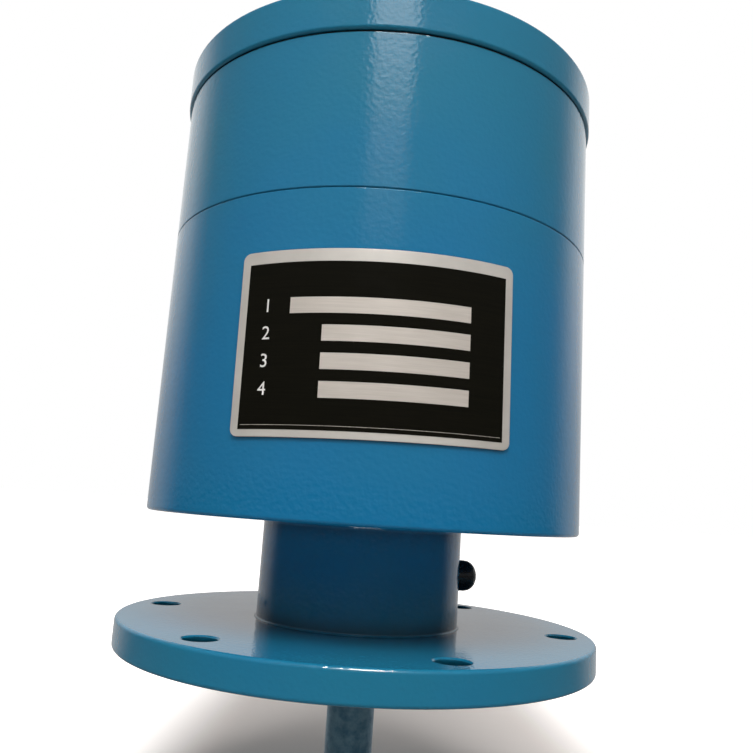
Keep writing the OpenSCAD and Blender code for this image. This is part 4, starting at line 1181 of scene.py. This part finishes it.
@dataclass
class Studio:
    """A plain pale floor in a pale room, with soft light from a tall window in front of the switch."""

    shaft_end: float
    # The floor, its matt paper, and the share of its light that it holds back from the switch
    floor_gap: float = 0.3 * MM
    floor_half: float = 12.0
    floor_colour: Colour = (0.90, 0.825, 0.775)
    paper_rough: float = 0.9
    paper_gloss: float = 0.1
    grain_size: float = 40 * MM
    grain_tone: float = 1.03
    held_back: float = 0.5
    # A painted glow on the paper for the eye: weak in the shadow round the middle, full further out
    floor_lift: float = 0.07
    clean_floor: Range = (52 * MM, 100 * MM)
    clean_middle: float = 12 * MM
    clean_depth: float = 0.2
    # The floor's tone in gloss before the switch, near it and further out
    near_floor: Range = (0.25, 0.60)
    near_tone: float = 0.20
    far_tone: float = 0.05
    # The room's light, and its tone in gloss from the horizon up: before, beside and behind the switch
    fill: float = 0.22
    before: Range = (0.27, 0.47)
    before_rise: Range = (-0.05, 0.60)
    turn_to_side: Range = (-0.75, 0.05)
    beside: float = 0.6
    turn_to_back: Range = (0.22, 0.65)
    behind: Range = (0.55, 1.0)
    behind_rise: Range = (0.0, 0.42)
    # The window's top, in degrees, and each band's foot, width and radiance
    window_top: float = 50.0
    window_bands: tuple[tuple[float, float, float], ...] = (
        (20.0, 0.34, 0.50), (26.0, 0.25, 0.55), (31.0, 0.32, 1.20), (34.3, 0.35, 1.1),
    )
    window_distance: float = 1.0

    def window(self) -> list[Softbox]:
        """Stacks lamps into one window that grows brighter towards its top.

        Returns:
            The lamps. Each one reaches from its own foot to the window's top.
        """
        lamps = []
        for i, (foot, width, radiance) in enumerate(self.window_bands):
            middle = (foot + self.window_top) / 2
            height = 2 * self.window_distance * math.tan(math.radians(self.window_top - foot) / 2)
            size = (width, height)
            lamps.append(Softbox(f"window_{i + 1}", middle, self.window_distance, size, radiance))
        return lamps

    def paper(self) -> bpy.types.Material:
        """Makes the floor's paper: white to the eye where no shadow falls, and in gloss dim in front.

        Returns:
            The material.
        """
        sheet = Sheet("floor_paper")
        sheet.set(roughness=self.paper_rough, specular_ior_level=self.paper_gloss)
        grain = sheet.spread(sheet.noise(sheet.place(), self.grain_size), 0.0, 1.0)
        pale = tuple(min(1.0, channel * self.grain_tone) for channel in self.floor_colour)
        lost = sheet.math("MULTIPLY", sheet.ray("Is Diffuse Ray"), self.held_back)
        kept = sheet.math("SUBTRACT", 1.0, lost)
        sheet.to_surface("Base Color", sheet.scaled(sheet.between(grain, self.floor_colour, pale), kept))

        # Painted glow for the eye, weak in an oval round the middle where the switch's shadow stays
        across, along, _ = sheet.split(sheet.place())
        aside = sheet.math("SUBTRACT", across, self.clean_middle)
        oval = sheet.length(aside, sheet.math("MULTIPLY", along, self.clean_depth))
        painted_glow = sheet.spread(oval, self.floor_lift, 1.0, self.clean_floor)
        lit = sheet.add("ShaderNodeAddShader")
        sheet.link(sheet.surface.outputs[0], lit.inputs[0])
        sheet.link(sheet.glow(sheet.math("MULTIPLY", sheet.shown(), painted_glow)), lit.inputs[1])

        away = sheet.length(across, along)
        back = sheet.spread(sheet.math("DIVIDE", along, away), 0.0, 1.0, self.turn_to_back)
        front_tone = sheet.spread(away, self.near_tone, self.far_tone, self.near_floor)
        choice = sheet.add("ShaderNodeMixShader")
        sheet.link(sheet.ray("Is Glossy Ray"), choice.inputs[0])
        sheet.link(lit.outputs[0], choice.inputs[1])
        sheet.link(sheet.glow(sheet.mix(back, front_tone, self.behind[0])), choice.inputs[2])
        sheet.link(choice.outputs[0], sheet.output.inputs["Surface"])
        return sheet.material

    def floor(self) -> bpy.types.Object:
        """Lays the floor just below the shaft's end.

        Returns:
            The floor.
        """
        half = self.floor_half
        level = self.shaft_end - self.floor_gap
        spots = ((-half, -half), (half, -half), (half, half), (-half, half))
        plane = solid("floor", [Vector((x, y, level)) for x, y in spots], [(0, 1, 2, 3)])
        plane.data.materials.append(self.paper())
        return plane

    def world(self) -> bpy.types.World:
        """Makes the pale room: white to the eye, and in gloss white behind the switch and dim before it.

        Returns:
            The world.
        """
        world = bpy.data.worlds.new("pale_room")
        bpy.context.scene.world = world
        world.use_nodes = True
        room = Nodes(world.node_tree)
        _, along, rise = room.split(room.add("ShaderNodeTexCoord").outputs["Generated"])
        before = room.spread(rise, *self.before, self.before_rise)
        sides = room.spread(along, 1.0, self.beside, self.turn_to_side)
        behind = room.spread(rise, *self.behind, self.behind_rise)
        back = room.spread(along, 0.0, 1.0, self.turn_to_back)
        mirrored = room.mix(back, room.math("MULTIPLY", before, sides), behind)
        unseen = room.mix(room.ray("Is Glossy Ray"), self.fill, mirrored)
        light = room.add("ShaderNodeBackground")
        light.inputs["Color"].default_value = full((1.0, 1.0, 1.0))
        room.link(room.mix(room.shown(), unseen, 1.0), light.inputs["Strength"])
        room.link(light.outputs[0], room.add("ShaderNodeOutputWorld").inputs["Surface"])
        return world

    def build(self) -> None:
        """Sets up the floor, the world and the lamps, and reports them."""
        log.info("floor: %s", self.floor().name)
        log.info("world: %s", self.world().name)
        for lamp in (*self.window(), *LAMPS):
            log.info("lamp: %s", lamp.build().name)
        bpy.context.scene.view_settings.view_transform = "Standard"


SUB_ASSEMBLIES = (PaintedHousing, Cap, ShaftAndBearings, Governor, TripSwitch, CableEntry, Nameplate)


def main() -> None:
    """Dresses the switch, lights it and places the camera."""
    logging.basicConfig(level=logging.INFO, format="%(message)s")
    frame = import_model()
    log.info("camera: %s", Camera().build().name)

    palette = Palette(FINISHES)
    dressed: set[str] = set()
    for kind in SUB_ASSEMBLIES:
        assembly = kind(palette, frame)
        assembly.build()
        dressed.update(assembly.members)
    log.info("nodes left bare: %s", sorted(set(frame["nodes"]) - dressed) or "none")

    shaft_low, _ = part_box("drive_shaft")
    Studio(shaft_end=shaft_low.z).build()


if __name__ == "__main__":
    main()
